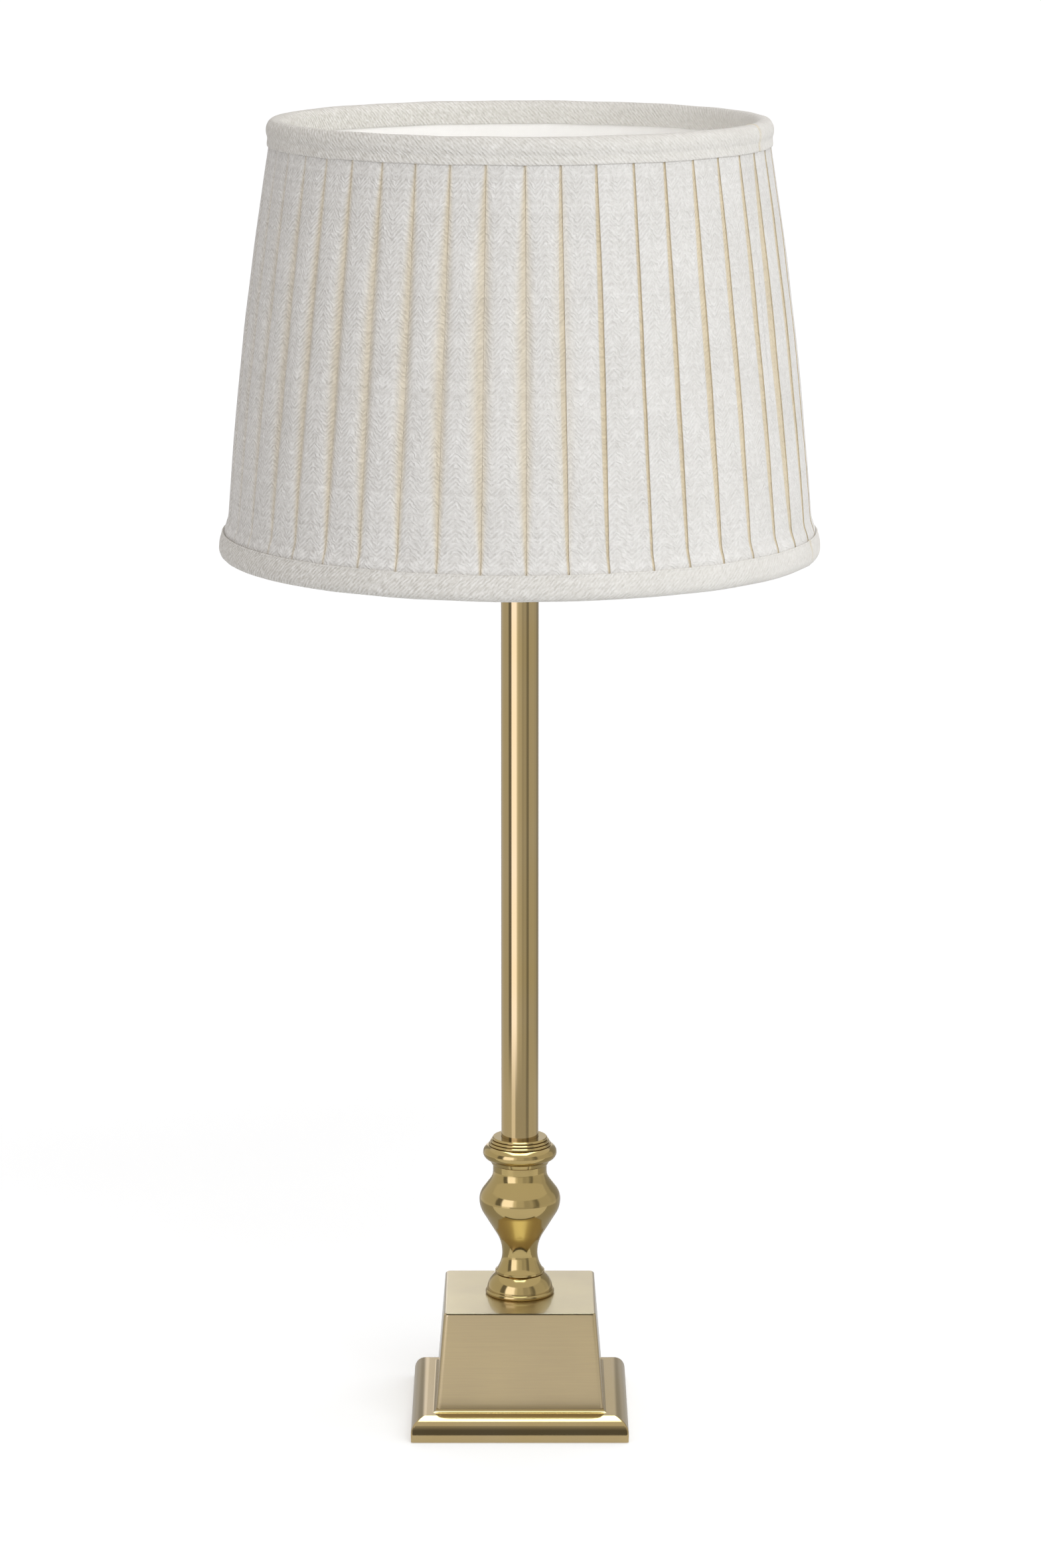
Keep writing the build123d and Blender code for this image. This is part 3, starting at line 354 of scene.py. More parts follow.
def threaded(made, pitch, depth):
    """Adds a screw thread's ridges round Z to a material made by brass or plain."""
    tree = made.node_tree
    shader = tree.nodes["Principled BSDF"]
    source = tree.nodes.new("ShaderNodeTexCoord")
    axes = tree.nodes.new("ShaderNodeSeparateXYZ")
    tree.links.new(source.outputs["Object"], axes.inputs[0])
    turn = math_node(tree, "ARCTAN2", axes.outputs[1], axes.outputs[0])
    rise = math_node(tree, "MULTIPLY", axes.outputs[2], math.tau / pitch)
    ridge = math_node(tree, "SINE", math_node(tree, "ADD", rise, turn))
    before = shader.inputs["Normal"].links[0].from_node
    second = tree.nodes.new("ShaderNodeBump")
    second.inputs["Distance"].default_value = depth
    tree.links.new(ridge, second.inputs["Height"])
    tree.links.new(before.outputs[0], second.inputs["Normal"])
    tree.links.new(second.outputs[0], shader.inputs["Normal"])
    return made


LOOSE_SCALE = 330           # of the threads' wandering, in waves per metre
LOOSE_ZIGZAG = 0.4          # how far it moves a chevron, as a share of the chevron
LOOSE_SLANT = 1.2           # and a rib, in threads
RIBS_PER_THREAD = 0.7
RIB_SHARE = 0.3             # of the weave's height
STREAK_SHARE = 0.8
STREAKS_ACROSS = 1.1        # waves per thread of the streaks along the twill
STREAKS_ALONG = 0.35
WEAVE_TONE = 0.55           # share of the weave's height that also shades it
WEAVE_LEVEL = 0.4           # the weave height that the painted raking shade leaves alike all round
RAKING_SHADE_LEFT = 1.65           # how much stronger the weave's painted raking-light shading is at the lamp's left ...
RAKING_SHADE_RIGHT = 0.35          # ... and at its right
RAKING_SHADE_REACH = 0.15          # and how far from the middle that is
SLUBS_ACROSS = (260, 560, 1)
SLUBS_ALONG = (560, 140, 1)
SLUB_HEIGHT = 2.0
CLOUD_SCALE = 35
CLOUD_SHARE = 0.5
TONES = (-0.3, 1.1)         # from the dark colour to the light one
CLOTH_ROUGHNESS = 0.85
CLOTH_SPECULAR = 0.25
CLOTH_SHEEN = 0.15
SHEEN_ROUGHNESS = 0.5
# colour of the painted glow, light that cloth gives off as if lit through
PAINTED_GLOW_COLOUR = (1.0, 0.98, 0.94, 1)


def cloth(name, light, dark, thread, chevron, depth, contrast, tint=None, tint_colour=(1, 1, 1),
          slub=0.5, glow=0.0):
    """Woven cloth on a UV map in metres: a twill that turns every chevron metres, with slub threads.

    The weave's shading is painted stronger at the lamp's left and weaker at its right, as light grazing the
    lamp's left would show it. The tint is a mesh attribute, which multiplies the colour by the tint colour
    where it is 1;
    on the cover it is painted shade. A glow is painted light: the cloth shines as if lit through.
    """
    made, tree, shader = material(name)
    source = tree.nodes.new("ShaderNodeTexCoord")
    axes = tree.nodes.new("ShaderNodeSeparateXYZ")
    tree.links.new(source.outputs["UV"], axes.inputs[0])
    across, along = axes.outputs[0], axes.outputs[1]
    flat = coordinates(tree, kind="UV")

    loose = noise_value(tree, flat, LOOSE_SCALE, 2)
    turned = math_node(tree, "MULTIPLY_ADD", loose, LOOSE_ZIGZAG * chevron, across)
    zigzag = math_node(tree, "PINGPONG", turned, chevron) if chevron else across
    straight = math_node(tree, "ADD", zigzag, along)
    slant = math_node(tree, "MULTIPLY_ADD", loose, LOOSE_SLANT * thread, straight)
    rib = math_node(tree, "SINE", math_node(tree, "MULTIPLY", slant, math.tau * RIBS_PER_THREAD / thread))
    lengthwise = tree.nodes.new("ShaderNodeCombineXYZ")
    tree.links.new(math_node(tree, "MULTIPLY", slant, STREAKS_ACROSS / thread), lengthwise.inputs[0])
    along_twill = math_node(tree, "SUBTRACT", along, zigzag)
    tree.links.new(math_node(tree, "MULTIPLY", along_twill, STREAKS_ALONG / thread), lengthwise.inputs[1])
    threads = to_range(tree, noise_value(tree, lengthwise.outputs[0], 1, 2, 0.6), -1, 1, 0.25, 0.75)
    weave = math_node(tree, "ADD", math_node(tree, "MULTIPLY", rib, RIB_SHARE),
                      math_node(tree, "MULTIPLY", threads, STREAK_SHARE))

    slub_across = noise_value(tree, coordinates(tree, SLUBS_ACROSS, "UV"), 1, 2, 0.6)
    slub_along = noise_value(tree, coordinates(tree, SLUBS_ALONG, "UV"), 1, 2, 0.6)
    slubs = math_node(tree, "MAXIMUM", slub_across, slub_along)
    thick = to_range(tree, slubs, 0, 1, 0.45, 0.85)
    height = math_node(tree, "ADD", weave, math_node(tree, "MULTIPLY", thick, SLUB_HEIGHT * slub))

    place = tree.nodes.new("ShaderNodeSeparateXYZ")
    tree.links.new(source.outputs["Object"], place.inputs[0])
    # painted raking light: the weave's shading grows towards the lamp's left and fades towards its right
    sideways = to_range(tree, place.outputs[0], RAKING_SHADE_LEFT, RAKING_SHADE_RIGHT, -RAKING_SHADE_REACH, RAKING_SHADE_REACH)
    tone = WEAVE_TONE * contrast
    woven = math_node(tree, "MULTIPLY", math_node(tree, "SUBTRACT", weave, WEAVE_LEVEL), tone)
    woven = math_node(tree, "MULTIPLY_ADD", woven, sideways, WEAVE_LEVEL * tone)
    shade = math_node(tree, "ADD", woven, math_node(tree, "MULTIPLY", thick, slub))
    clouds = noise_value(tree, flat, CLOUD_SCALE, 3)
    shade = math_node(tree, "ADD", shade, math_node(tree, "MULTIPLY", clouds, CLOUD_SHARE))
    colour = mix(tree, to_range(tree, shade, 0, 1, *TONES), dark, light)
    if tint:
        attribute = tree.nodes.new("ShaderNodeAttribute")
        attribute.attribute_name = tint
        colour = mix(tree, attribute.outputs["Fac"], colour, tint_colour, "MULTIPLY")
    tree.links.new(colour, shader.inputs["Base Color"])
    shader.inputs["Roughness"].default_value = CLOTH_ROUGHNESS
    shader.inputs["Specular IOR Level"].default_value = CLOTH_SPECULAR
    shader.inputs["Sheen Weight"].default_value = CLOTH_SHEEN
    shader.inputs["Sheen Roughness"].default_value = SHEEN_ROUGHNESS
    # a glow above 0 is painted light: the cloth shines as if lit through
    shader.inputs["Emission Color"].default_value = PAINTED_GLOW_COLOUR
    shader.inputs["Emission Strength"].default_value = glow
    bump(tree, height, depth, shader)
    return made


# ---------------------------------------------------------------- shade: pleated cover
def cover_radius(level):
    """Radius over the folds: a straight taper that swells a little, and flares into the bottom binding."""
    share = np.clip((level - COVER_LOW) / (COVER_HIGH - COVER_LOW), 0, 1)
    straight = COVER_BOTTOM_RADIUS + share * (COVER_TOP_RADIUS - COVER_BOTTOM_RADIUS)
    flare = FLARE * (1 - smoothstep(COVER_LOW, COVER_LOW + FLARE_HEIGHT, level))
    return straight + COVER_BOW * 4 * share * (1 - share) + flare


def from_front(angle):
    """An angle about Z, counted from the front towards +X, from -pi to pi."""
    return (angle + math.pi / 2 + math.pi) % math.tau - math.pi


def crispness(ahead):
    """0 where the folds lie soft and closed, 1 where they stand open with sharp strips of shade, sunk in
    the cloth and painted.
    """
    opening = smoothstep(*CRISP_FROM, ahead)
    return opening * (1 - smoothstep(*CRISP_UNTIL, ahead))


class Fold:
    """One fold's edge: where it runs, how high it stands, how wide the strip before it gapes and how much
    painted shade lies before it.
    """

    def __init__(self, number, picker, lens, share):
        swing = math.radians(picker.uniform(-FOLD_SWING, FOLD_SWING))
        phase = picker.uniform(0, math.tau)
        rest = FIRST_FOLD + number * PITCH + math.radians(picker.uniform(-FOLD_SHIFT, FOLD_SHIFT))
        self.ahead = from_front(rest)
        self.angle = rest + swing * np.sin(4 * share + phase)
        self.lift = picker.uniform(-FOLD_LIFT, FOLD_LIFT) * lens
        self.crisp = float(crispness(self.ahead))
        fullness = picker.uniform(*FULLNESS)
        sideways = float(smoothstep(*SIDE_FROM, self.ahead))
        strip = GAPING.get(number, fullness * (STRIP_FRONT + (STRIP_SIDE - STRIP_FRONT) * sideways))
        self.lens = lens
        middle = PLEAT_DEPTH_SOFT + (PLEAT_DEPTH_CRISP - PLEAT_DEPTH_SOFT) * self.crisp
        depth = PLEAT_DEPTH_ENDS + (middle - PLEAT_DEPTH_ENDS) * lens
        self.depth = depth * (1 - SIDE_DEPTH_LOSS * sideways)
        self.strip = STRIP_ENDS + (strip - STRIP_ENDS) * lens ** 0.8
        self.haze = HAZE_ENDS + (HAZE_MIDDLE * fullness - HAZE_ENDS) * lens
        # strength of the painted shade in the haze before this fold
        past_left = smoothstep(*HAZY_FROM, self.ahead)
        self.painted_haze = (1 - self.crisp) * (HAZY_LEAST + (1 - HAZY_LEAST) * past_left)

    def sink(self, before):
        """How far the cloth has sunk at a distance before the edge, from 0 to 1."""
        sharp = 1 - smoothstep(self.strip + SINK_CRISP[0], self.strip + SINK_CRISP[1], before)
        soft = 1 - smoothstep(0, SINK_SOFT_ENDS + SINK_SOFT_MORE * self.lens, before)
        return self.crisp * sharp + (1 - self.crisp) * soft

    def roll(self, past):
        """How much lower the cloth lies at a distance past an edge that is rolled and not pressed."""
        height = (1 - self.crisp) * ROLL_SHARE * self.depth * self.lens ** 0.4
        return height * np.exp(-(past / ROLL_WIDTH) ** 2)

    def painted_shade(self, before):
        """Painted shade, as a tint, in the strip or haze at a distance before the edge; below 0 is past it.
        """
        inside = 1 - smoothstep(self.strip + PAINTED_SHADE_CRISP[0], self.strip + PAINTED_SHADE_CRISP[1], before)
        sharp = inside * (before >= 0)
        spread = (before - HAZE_PLACE * self.haze) / self.haze
        soft = np.exp(-spread ** 2) * (0.9 - 0.2 * self.lens)
        return self.crisp * sharp + self.painted_haze * soft


def pleated_cover():
    """Knife pleats in one strip of cloth.

    Each panel runs to the right, sinks before the next fold, passes under it, turns back at an inner fold
    and comes out again at the next fold's edge. The strips and hazes before the folds get painted shade
    from a mesh attribute that tints the cloth.
    """
    low_part = np.linspace(HEM_LOW, COVER_LOW + FLARE_HEIGHT, HEM_ROWS)
    high_part = np.linspace(COVER_LOW + FLARE_HEIGHT, HEM_HIGH, PANEL_ROWS)[1:]
    levels = np.concatenate([low_part, high_part])
    share = np.clip((levels - COVER_LOW) / (COVER_HIGH - COVER_LOW), 0, 1)
    lens = 4 * share * (1 - share)
    radius = cover_radius(levels)
    tuck = (CLOTH_PER_PLEAT / radius - PITCH) / 2
    slant = np.concatenate([[0], np.cumsum(np.hypot(np.diff(levels), np.diff(radius)))])
    picker = random.Random(COVER_SEED)
    folds = [Fold(number, picker, lens, share) for number in range(PLEATS)]
    face_cloth = FACE_SHARE * CLOTH_PER_PLEAT
    tucked_cloth = CLOTH_PER_PLEAT - face_cloth

    columns, across, painted_shades = [], [], []
    walked = 0.0
    for number, fold in enumerate(folds):
        after = folds[(number + 1) % PLEATS]
        end = after.angle + (math.tau if after is folds[0] else 0)
        width = (end - fold.angle) * radius
        starts = [step * MM for step in PAST_FOLD]
        stops = [after.strip + step * MM for step in BEFORE_STRIP]
        stops += [after.strip * part for part in IN_STRIP]
        inner_start = starts[-1]
        inner_end = width - stops[0]
        middles = [inner_start + (inner_end - inner_start) * part for part in MIDDLES]
        for walk in starts + middles + [width - stop for stop in stops]:
            t = walk / width
            before = width - walk
            height = radius + fold.lift * (1 - t) + after.lift * t - fold.roll(walk)
            fall = PANEL_SLOPE * t + (1 - PANEL_SLOPE) * after.sink(before)
            height = height - after.depth * fall
            swell = (PANEL_SWELL - PANEL_SWELL_LOSS * after.crisp) * np.sin(math.pi * t) * lens
            columns.append((fold.angle + t * (end - fold.angle), height + swell))
            # painted shade: tan in the strips before open folds and in the hazes before closed ones
            painted_shades.append(np.maximum(after.painted_shade(before), fold.painted_shade(-walk - 1e-6)))
            across.append(walked + float(np.mean(t)) * face_cloth)
        walked += face_cloth
        edge = radius + after.lift - after.roll(0)
        under = radius + after.lift - after.depth
        for step, (t, rise) in enumerate(TUCK):
            columns.append((end + t * tuck, under + rise * (edge - under)))
            # the cloth tucked under a fold keeps the painted shade of its edge
            painted_shades.append(after.painted_shade(0) * np.ones_like(levels))
            across.append(walked + (step + 1) / (len(TUCK) + 1) * tucked_cloth)
        walked += tucked_cloth

    angles = np.array([column[0] for column in columns]).T
    radii = np.array([column[1] for column in columns]).T
    ripple = waves(RIPPLE_SEED, 6, 3, 19)
    radii = radii + RIPPLE * wavy(angles + levels[:, None] * RIPPLE_TWIST, ripple) * lens[:, None]
    points = np.stack([radii * np.cos(angles), radii * np.sin(angles),
                       np.repeat(levels[:, None], radii.shape[1], axis=1)], axis=2)
    uvs = np.zeros((len(levels), radii.shape[1] + 1, 2))
    uvs[:, :, 0] = np.array(across + [walked])[None, :]
    uvs[:, :, 1] = slant[:, None]
    made = grid_object("shade_cover", points, uvs, attributes={"painted_shade": np.array(painted_shades).T.copy()})
    # the tint colour is the tan of the painted shade in the pleats
    made.data.materials.append(cloth("cover_cloth", (0.95, 0.94, 0.92), (0.57, 0.55, 0.52), thread=1.6 * MM,
                                     chevron=6 * MM, depth=0.16 * MM, contrast=0.75, tint="painted_shade",
                                     tint_colour=(0.93, 0.82, 0.61)))
    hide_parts("pleated_cover")
    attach(made, "shade")
    return made, (walked, slant[-1])


# ---------------------------------------------------------------- shade: bindings and lining
def band(name, line, seed, swell, crease):
    """A strip of cloth folded round a wire: a line of (radius, height) carried round to its seam."""
    angles = np.arange(BAND_COLUMNS) * math.tau / BAND_COLUMNS - math.pi / 2
    steps = np.hypot(np.diff(line[:, 0]), np.diff(line[:, 1]))
    along = np.concatenate([[0], np.cumsum(steps)])
    share = along / along[-1]
    soft = np.sin(math.pi * np.clip(share * 1.6, 0, 1))[:, None]
    slow = wavy(angles[None, :], waves(seed, 7, 5, 40)) * swell
    pinch = wavy(angles[None, :] + 0.01 * share[:, None], waves(seed + 1, 6, 44, 90)) * swell * PINCH_SHARE
    rise = wavy(angles[None, :], waves(seed + 2, 5, 4, 26)) * swell * RISE_SHARE
    off = (angles - crease + math.pi) % math.tau - math.pi
    reach = off[None, :] * line[:, :1] / MM
    seam = np.exp(-(reach / SEAM_WIDTH) ** 2)
    lip = np.exp(-((reach + SEAM_LIP_PLACE) / SEAM_LIP_WIDTH) ** 2)
    radii = line[:, :1] + (slow + pinch - SEAM_DEPTH * seam + SEAM_LIP * lip) * soft
    heights = line[:, 1:] + rise + SEAM_RISE * seam
    points = np.stack([radii * np.cos(angles)[None, :], radii * np.sin(angles)[None, :], heights], axis=2)
    uvs = np.zeros((len(line), BAND_COLUMNS + 1, 2))
    uvs[:, :, 0] = np.arange(BAND_COLUMNS + 1)[None, :] * math.tau / BAND_COLUMNS * line[0, 0]
    uvs[:, :, 1] = along[:, None]
    made = grid_object(name, points, uvs, attributes={"seam": seam})
    return made, (math.tau * line[0, 0], along[-1])


def inner_leaf(level):
    """Radius of the bindings' inner leaves, close inside the lining."""
    share = (level - LINING_LOW) / (LINING_HIGH - LINING_LOW)
    bottom = LINING_BOTTOM_RADIUS - LEAF_INSET
    top = bottom - (BOTTOM_WIRE_RADIUS - TOP_WIRE_RADIUS)
    return bottom + share * (top - bottom)


def top_band():
    """Binding folded over the top wire: flat lower third, a soft crease and a full roll above it."""
    outer = TOP_BAND_RADIUS
    low = COVER_HIGH
    top = SHADE_TOP
    inside = inner_leaf(top - 4 * MM)
    line = smooth_line([
        (outer - 1.3 * MM, low + 0.6 * MM), (outer - 0.5 * MM, low - 0.1 * MM),
        (outer - 0.1 * MM, low + 0.5 * MM), (outer - 0.25 * MM, low + 2.6 * MM),
        (outer - 0.35 * MM, low + 4.3 * MM), (outer + 0.15 * MM, low + 6.2 * MM),
        (outer + 0.15 * MM, low + 9.0 * MM), (outer - 0.9 * MM, top - 1.5 * MM),
        (outer - 2.8 * MM, top - 0.1 * MM), (inside + 2.2 * MM, top - 0.2 * MM),
        (inside + 0.4 * MM, top - 2.2 * MM), (inside, top - 5 * MM),
        (inner_leaf(low + 2 * MM), low + 2 * MM), (inner_leaf(low) + 0.6 * MM, low + 1.5 * MM),
    ], BAND_STEPS)
    return band("shade_top_band", line, seed=31, swell=0.16 * MM, crease=TOP_SEAM_ANGLE)


def bottom_band():
    """Binding rolled round the bottom wire, with a thin lip along its upper edge."""
    outer = BOTTOM_BAND_RADIUS
    high = COVER_LOW
    low = SHADE_BOTTOM
    inside = inner_leaf(low + 5 * MM)
    line = smooth_line([
        (outer - 2.6 * MM, high - 0.9 * MM), (outer - 1.9 * MM, high + 0.1 * MM),
        (outer - 1.3 * MM, high - 0.2 * MM), (outer - 1.25 * MM, high - 1.1 * MM),
        (outer - 0.85 * MM, high - 2.2 * MM), (outer - 0.25 * MM, high - 4.6 * MM),
        (outer, high - 7.4 * MM), (outer - 0.1 * MM, low + 3.4 * MM),
        (outer - 1.3 * MM, low + 1.2 * MM), (outer - 3.8 * MM, low + 0.1 * MM),
        (inside + 2.4 * MM, low), (inside + 0.5 * MM, low + 1.6 * MM),
        (inside - 0.1 * MM, low + 5 * MM), (inner_leaf(high - 2.5 * MM), high - 2.5 * MM),
        (inner_leaf(high - 2.5 * MM) + 0.6 * MM, high - 2.9 * MM),
    ], BAND_STEPS)
    return band("shade_bottom_band", line, seed=41, swell=0.18 * MM, crease=BOTTOM_SEAM_ANGLE)


def lining():
    """Smooth cloth stretched inside the struts, with a painted glow as if lit through the cover."""
    levels = np.linspace(LINING_LOW, LINING_HIGH, LINING_ROWS)
    share = (levels - LINING_LOW) / (LINING_HIGH - LINING_LOW)
    bottom = LINING_BOTTOM_RADIUS - LINING_INSET
    top = bottom - (BOTTOM_WIRE_RADIUS - TOP_WIRE_RADIUS)
    radius = bottom + share * (top - bottom)
    angles = np.arange(LINING_COLUMNS) * math.tau / LINING_COLUMNS
    middle = np.sin(math.pi * share)[:, None]
    radii = radius[:, None] + (LINING_WAVE * np.cos(LINING_WAVES * angles)[None, :] - LINING_SAG) * middle
    points = np.stack([radii * np.cos(angles)[None, :], radii * np.sin(angles)[None, :],
                       np.repeat(levels[:, None], LINING_COLUMNS, axis=1)], axis=2)
    uvs = np.zeros((LINING_ROWS, LINING_COLUMNS + 1, 2))
    uvs[:, :, 0] = np.arange(LINING_COLUMNS + 1)[None, :] * math.tau / LINING_COLUMNS * bottom
    uvs[:, :, 1] = (levels - LINING_LOW)[:, None]
    made = grid_object("shade_inner_cloth", points, uvs)
    # the lining's glow is painted light, as if the cover let light through to it
    made.data.materials.append(cloth("lining_cloth", (0.90, 0.89, 0.875), (0.78, 0.765, 0.745),
                                     thread=0.9 * MM, chevron=0, depth=0.02 * MM, contrast=0.3, slub=0.2,
                                     glow=0.13))
    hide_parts("shade_lining")
    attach(made, "shade")


def felt_pad():
    """Felt under the foot, with a slightly ragged cut edge."""
    low, high = (Vector(corner) for corner in FELT_BOX)
    half = (high.x - low.x) / 2
    turns = np.arange(FELT_COLUMNS) * math.tau / FELT_COLUMNS
    edge = half / np.maximum(np.abs(np.cos(turns)), np.abs(np.sin(turns)))
    corner = half * math.sqrt(2) - FELT_CORNER
    edge = np.minimum(edge, corner) + FELT_RAG * wavy(turns, waves(FELT_SEED, 9, 9, 70))
    rings = [(0.02, low.z), (0.5, low.z), (0.97, low.z), (1.0, low.z + FELT_EDGE),
             (1.0, high.z - FELT_EDGE), (0.97, high.z), (0.5, high.z), (0.02, high.z)]
    points = np.array([[(reach * share * math.cos(turn), reach * share * math.sin(turn), level)
                        for reach, turn in zip(edge, turns)] for share, level in rings])
    uvs = np.zeros((len(rings), FELT_COLUMNS + 1, 2))
    uvs[:, :FELT_COLUMNS] = points[:, :, :2]
    uvs[:, FELT_COLUMNS] = points[:, 0, :2]
    made = grid_object("foot_felt", points, uvs)
    made.data.materials.append(plain("felt_wool", (0.05, 0.055, 0.05), (0.10, 0.105, 0.10), roughness=0.95,
                                     scale=900, depth=0.3 * MM))
    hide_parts("base_felt")
    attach(made, "lamp")


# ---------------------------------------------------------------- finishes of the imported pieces
def finish_nodes():
    """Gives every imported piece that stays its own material."""
    polished = brass("brass_polished", BRASS, BRASS_PALE, roughness=0.09)
    moulding = brass("brass_moulding", BRASS_PALE, BRASS, roughness=0.15)
    satin = brass("brass_satin", BRASS_SATIN, BRASS_PALE, roughness=0.30, grain=(30, 30, 1500), coat=1.0)
    turned = brass("brass_turned", BRASS, BRASS_DEEP, roughness=0.10, grain=(8, 8, 4200),
                   grain_depth=0.003 * MM)
    fitting = brass("brass_fitting", BRASS, BRASS_DEEP, roughness=0.16)
    thread = threaded(brass("brass_thread", BRASS, BRASS_DEEP, roughness=0.2), pitch=2.0 * MM,
                      depth=0.25 * MM)
    screw = threaded(brass("brass_screw_shell", BRASS, BRASS_PALE, roughness=0.2), pitch=3.6 * MM,
                     depth=0.5 * MM)
    bulb_metal = plain("bulb_cap_metal", (0.62, 0.62, 0.63), (0.7, 0.7, 0.71), roughness=0.25, scale=300,
                       metallic=1.0)
    bulb_metal = threaded(bulb_metal, pitch=3.6 * MM, depth=0.6 * MM)
    steel = plain("zinc_steel", (0.5, 0.5, 0.49), (0.6, 0.6, 0.58), roughness=0.35, scale=500, metallic=1.0,
                  depth=0.02 * MM)
    iron = plain("cast_iron", (0.07, 0.07, 0.07), (0.13, 0.125, 0.12), roughness=0.7, scale=700,
                 metallic=0.6, depth=0.3 * MM)
    rubber = plain("grommet_rubber", (0.02, 0.018, 0.016), (0.035, 0.03, 0.028), roughness=0.6, scale=900,
                   depth=0.04 * MM)
    porcelain = plain("porcelain", (0.74, 0.71, 0.65), (0.8, 0.78, 0.73), roughness=0.35, scale=260,
                      depth=0.03 * MM)
    switch = plain("switch_plastic", (0.03, 0.026, 0.022), (0.045, 0.04, 0.035), roughness=0.32, scale=600,
                   depth=0.01 * MM)
    paint = plain("white_paint", (0.72, 0.70, 0.66), (0.79, 0.775, 0.74), roughness=0.4, scale=350)
    opal = plain("opal_glass", (0.86, 0.85, 0.82), (0.88, 0.87, 0.85), roughness=0.18, scale=40,
                 depth=0.01 * MM)
    opal.node_tree.nodes["Principled BSDF"].inputs["Coat Weight"].default_value = 0.5
    given = {
        "base_foot": moulding, "plinth_block": satin, "baluster_foot": turned, "baluster": turned,
        "column_seat": turned, "column_tube": polished, "column_cap": polished,
        "base_weight": iron, "cord_grommet": rubber, "base_washer": steel, "base_nut": steel,
        "tie_rod": steel, "terminal_screws": steel,
        "holder_cap": fitting, "holder_shell": thread, "lower_shade_ring": fitting,
        "upper_shade_ring": fitting, "screw_shell": screw, "centre_contact": fitting,
        "switch_bar": switch, "holder_core": porcelain,
        "bulb_glass": opal, "bulb_cap": bulb_metal, "bulb_contact": bulb_metal,
        "top_wire": paint, "bottom_wire": paint, "shade_struts": paint, "fitter_arms": paint,
        "fitter_ring": paint,
    }
    for name, made in given.items():
        piece = NODES[name]
        piece.data.materials.clear()
        piece.data.materials.append(made)


# ---------------------------------------------------------------- studio
FLOOR_REACH = 30.0
FLOOR_GLOW = 0.38           # of the floor, to the rays that see the background
TENT_RADIUS = 0.5
TENT_LOW = 0.001
TENT_HEIGHT = 0.75
TENT_COLUMNS = 144
TENT_STEP = 0.06            # height below which the low cards stand
STEP_BLUR = 0.02
CARD_BLUR = 0.006           # of a card's sides, as a share of the way round
BRIGHTEST = 7.0
HIGH_CARDS = [
    # azimuth from the front in degrees, towards +X; brightness from there on
    (-180, 0.86), (-173, 1.35), (-164, 0.45), (-146, 0.82), (-72, 0.27), (-52, 2.45), (-19, 1.25),
    (-10, 0.9), (12, 0.68), (28, 0.75), (38, 0.5), (45, 0.33), (56, 0.8), (100, 0.72), (122, 0.45),
    (164, 0.86),
]
LOW_CARDS = [
    (-180, 0.95), (-173, 1.4), (-164, 0.6), (-146, 0.88), (-52, 1.5), (-28, 0.68), (38, 0.4),
    (56, 0.84), (122, 0.6), (164, 0.95),
]
CEILING = 0.44
CEILING_HOLE = 0.012
CEILING_DIM = 0.95
CEILING_LIGHT = (0.82, 0.98, 1.00)      # as a share of the brightest
LANE_START = (-0.16, -0.07)             # where the ceiling turns bright towards the back ...
LANE_SIDE = (0.075, 0.11)               # ... and dim again towards the sides
FLAG_HALF = 0.06            # the dark flag in front of the foot, which its moulding reflects
FLAG_PLACE = -0.059
FLAG_LOW = 0.0031
FLAG_FADE = 0.0079          # from here up it fades
FLAG_HIGH = 0.0138
FLAG_TONES = (0.18, 0.62)   # brightness below the fade and at its top
EDGE_FLAG_HALF = 0.0385     # the dark strip close above the block's front edge
EDGE_FLAG_FRONT = -0.0405
EDGE_FLAG_BACK = -0.0365
EDGE_FLAG_LEVEL = 0.0646
EDGE_FLAG_TONE = 0.10
TABLE_REACH = 0.5
TABLE_FRONT = -0.05
TABLE_LEVEL = 0.0006
TABLE_TONE = 0.55
SENSOR = 36                 # the camera's, with its lens, in millimetres
LENS = 120.18
LENS_SHIFT = 1 / 2362       # a pixel of the photograph
CAMERA_DISTANCE = 2.6
CAMERA_HEIGHT = 0.86
CAMERA_TILT = math.radians(78.5064)


def stage_object(name, mesh, made):
    """A piece of the studio, which isn't part of the lamp."""
    mesh.materials.append(made)
    thing = bpy.data.objects.new(name, mesh)
    bpy.context.scene.collection.objects.link(thing)
    return thing


def background_rays(tree):
    """1 for rays that should see the plain white background: camera, mirror and glass rays."""
    path = tree.nodes.new("ShaderNodeLightPath")
    seen = math_node(tree, "ADD", path.outputs["Is Camera Ray"], path.outputs["Is Glossy Ray"])
    seen = math_node(tree, "ADD", seen, path.outputs["Is Transmission Ray"])
    return math_node(tree, "MINIMUM", seen, 1.0)


def make_world(colour, strength):
    """White to look at; where it lights the lamp it has the given colour and strength."""
    world = bpy.data.worlds.new("studio")
    bpy.context.scene.world = world
    world.use_nodes = True
    tree = world.node_tree
    shader = tree.nodes["Background"]
    seen = background_rays(tree)
    tree.links.new(mix(tree, seen, colour, (1.0, 1.0, 1.0)), shader.inputs["Color"])
    tree.links.new(to_range(tree, seen, strength, 1.0), shader.inputs["Strength"])


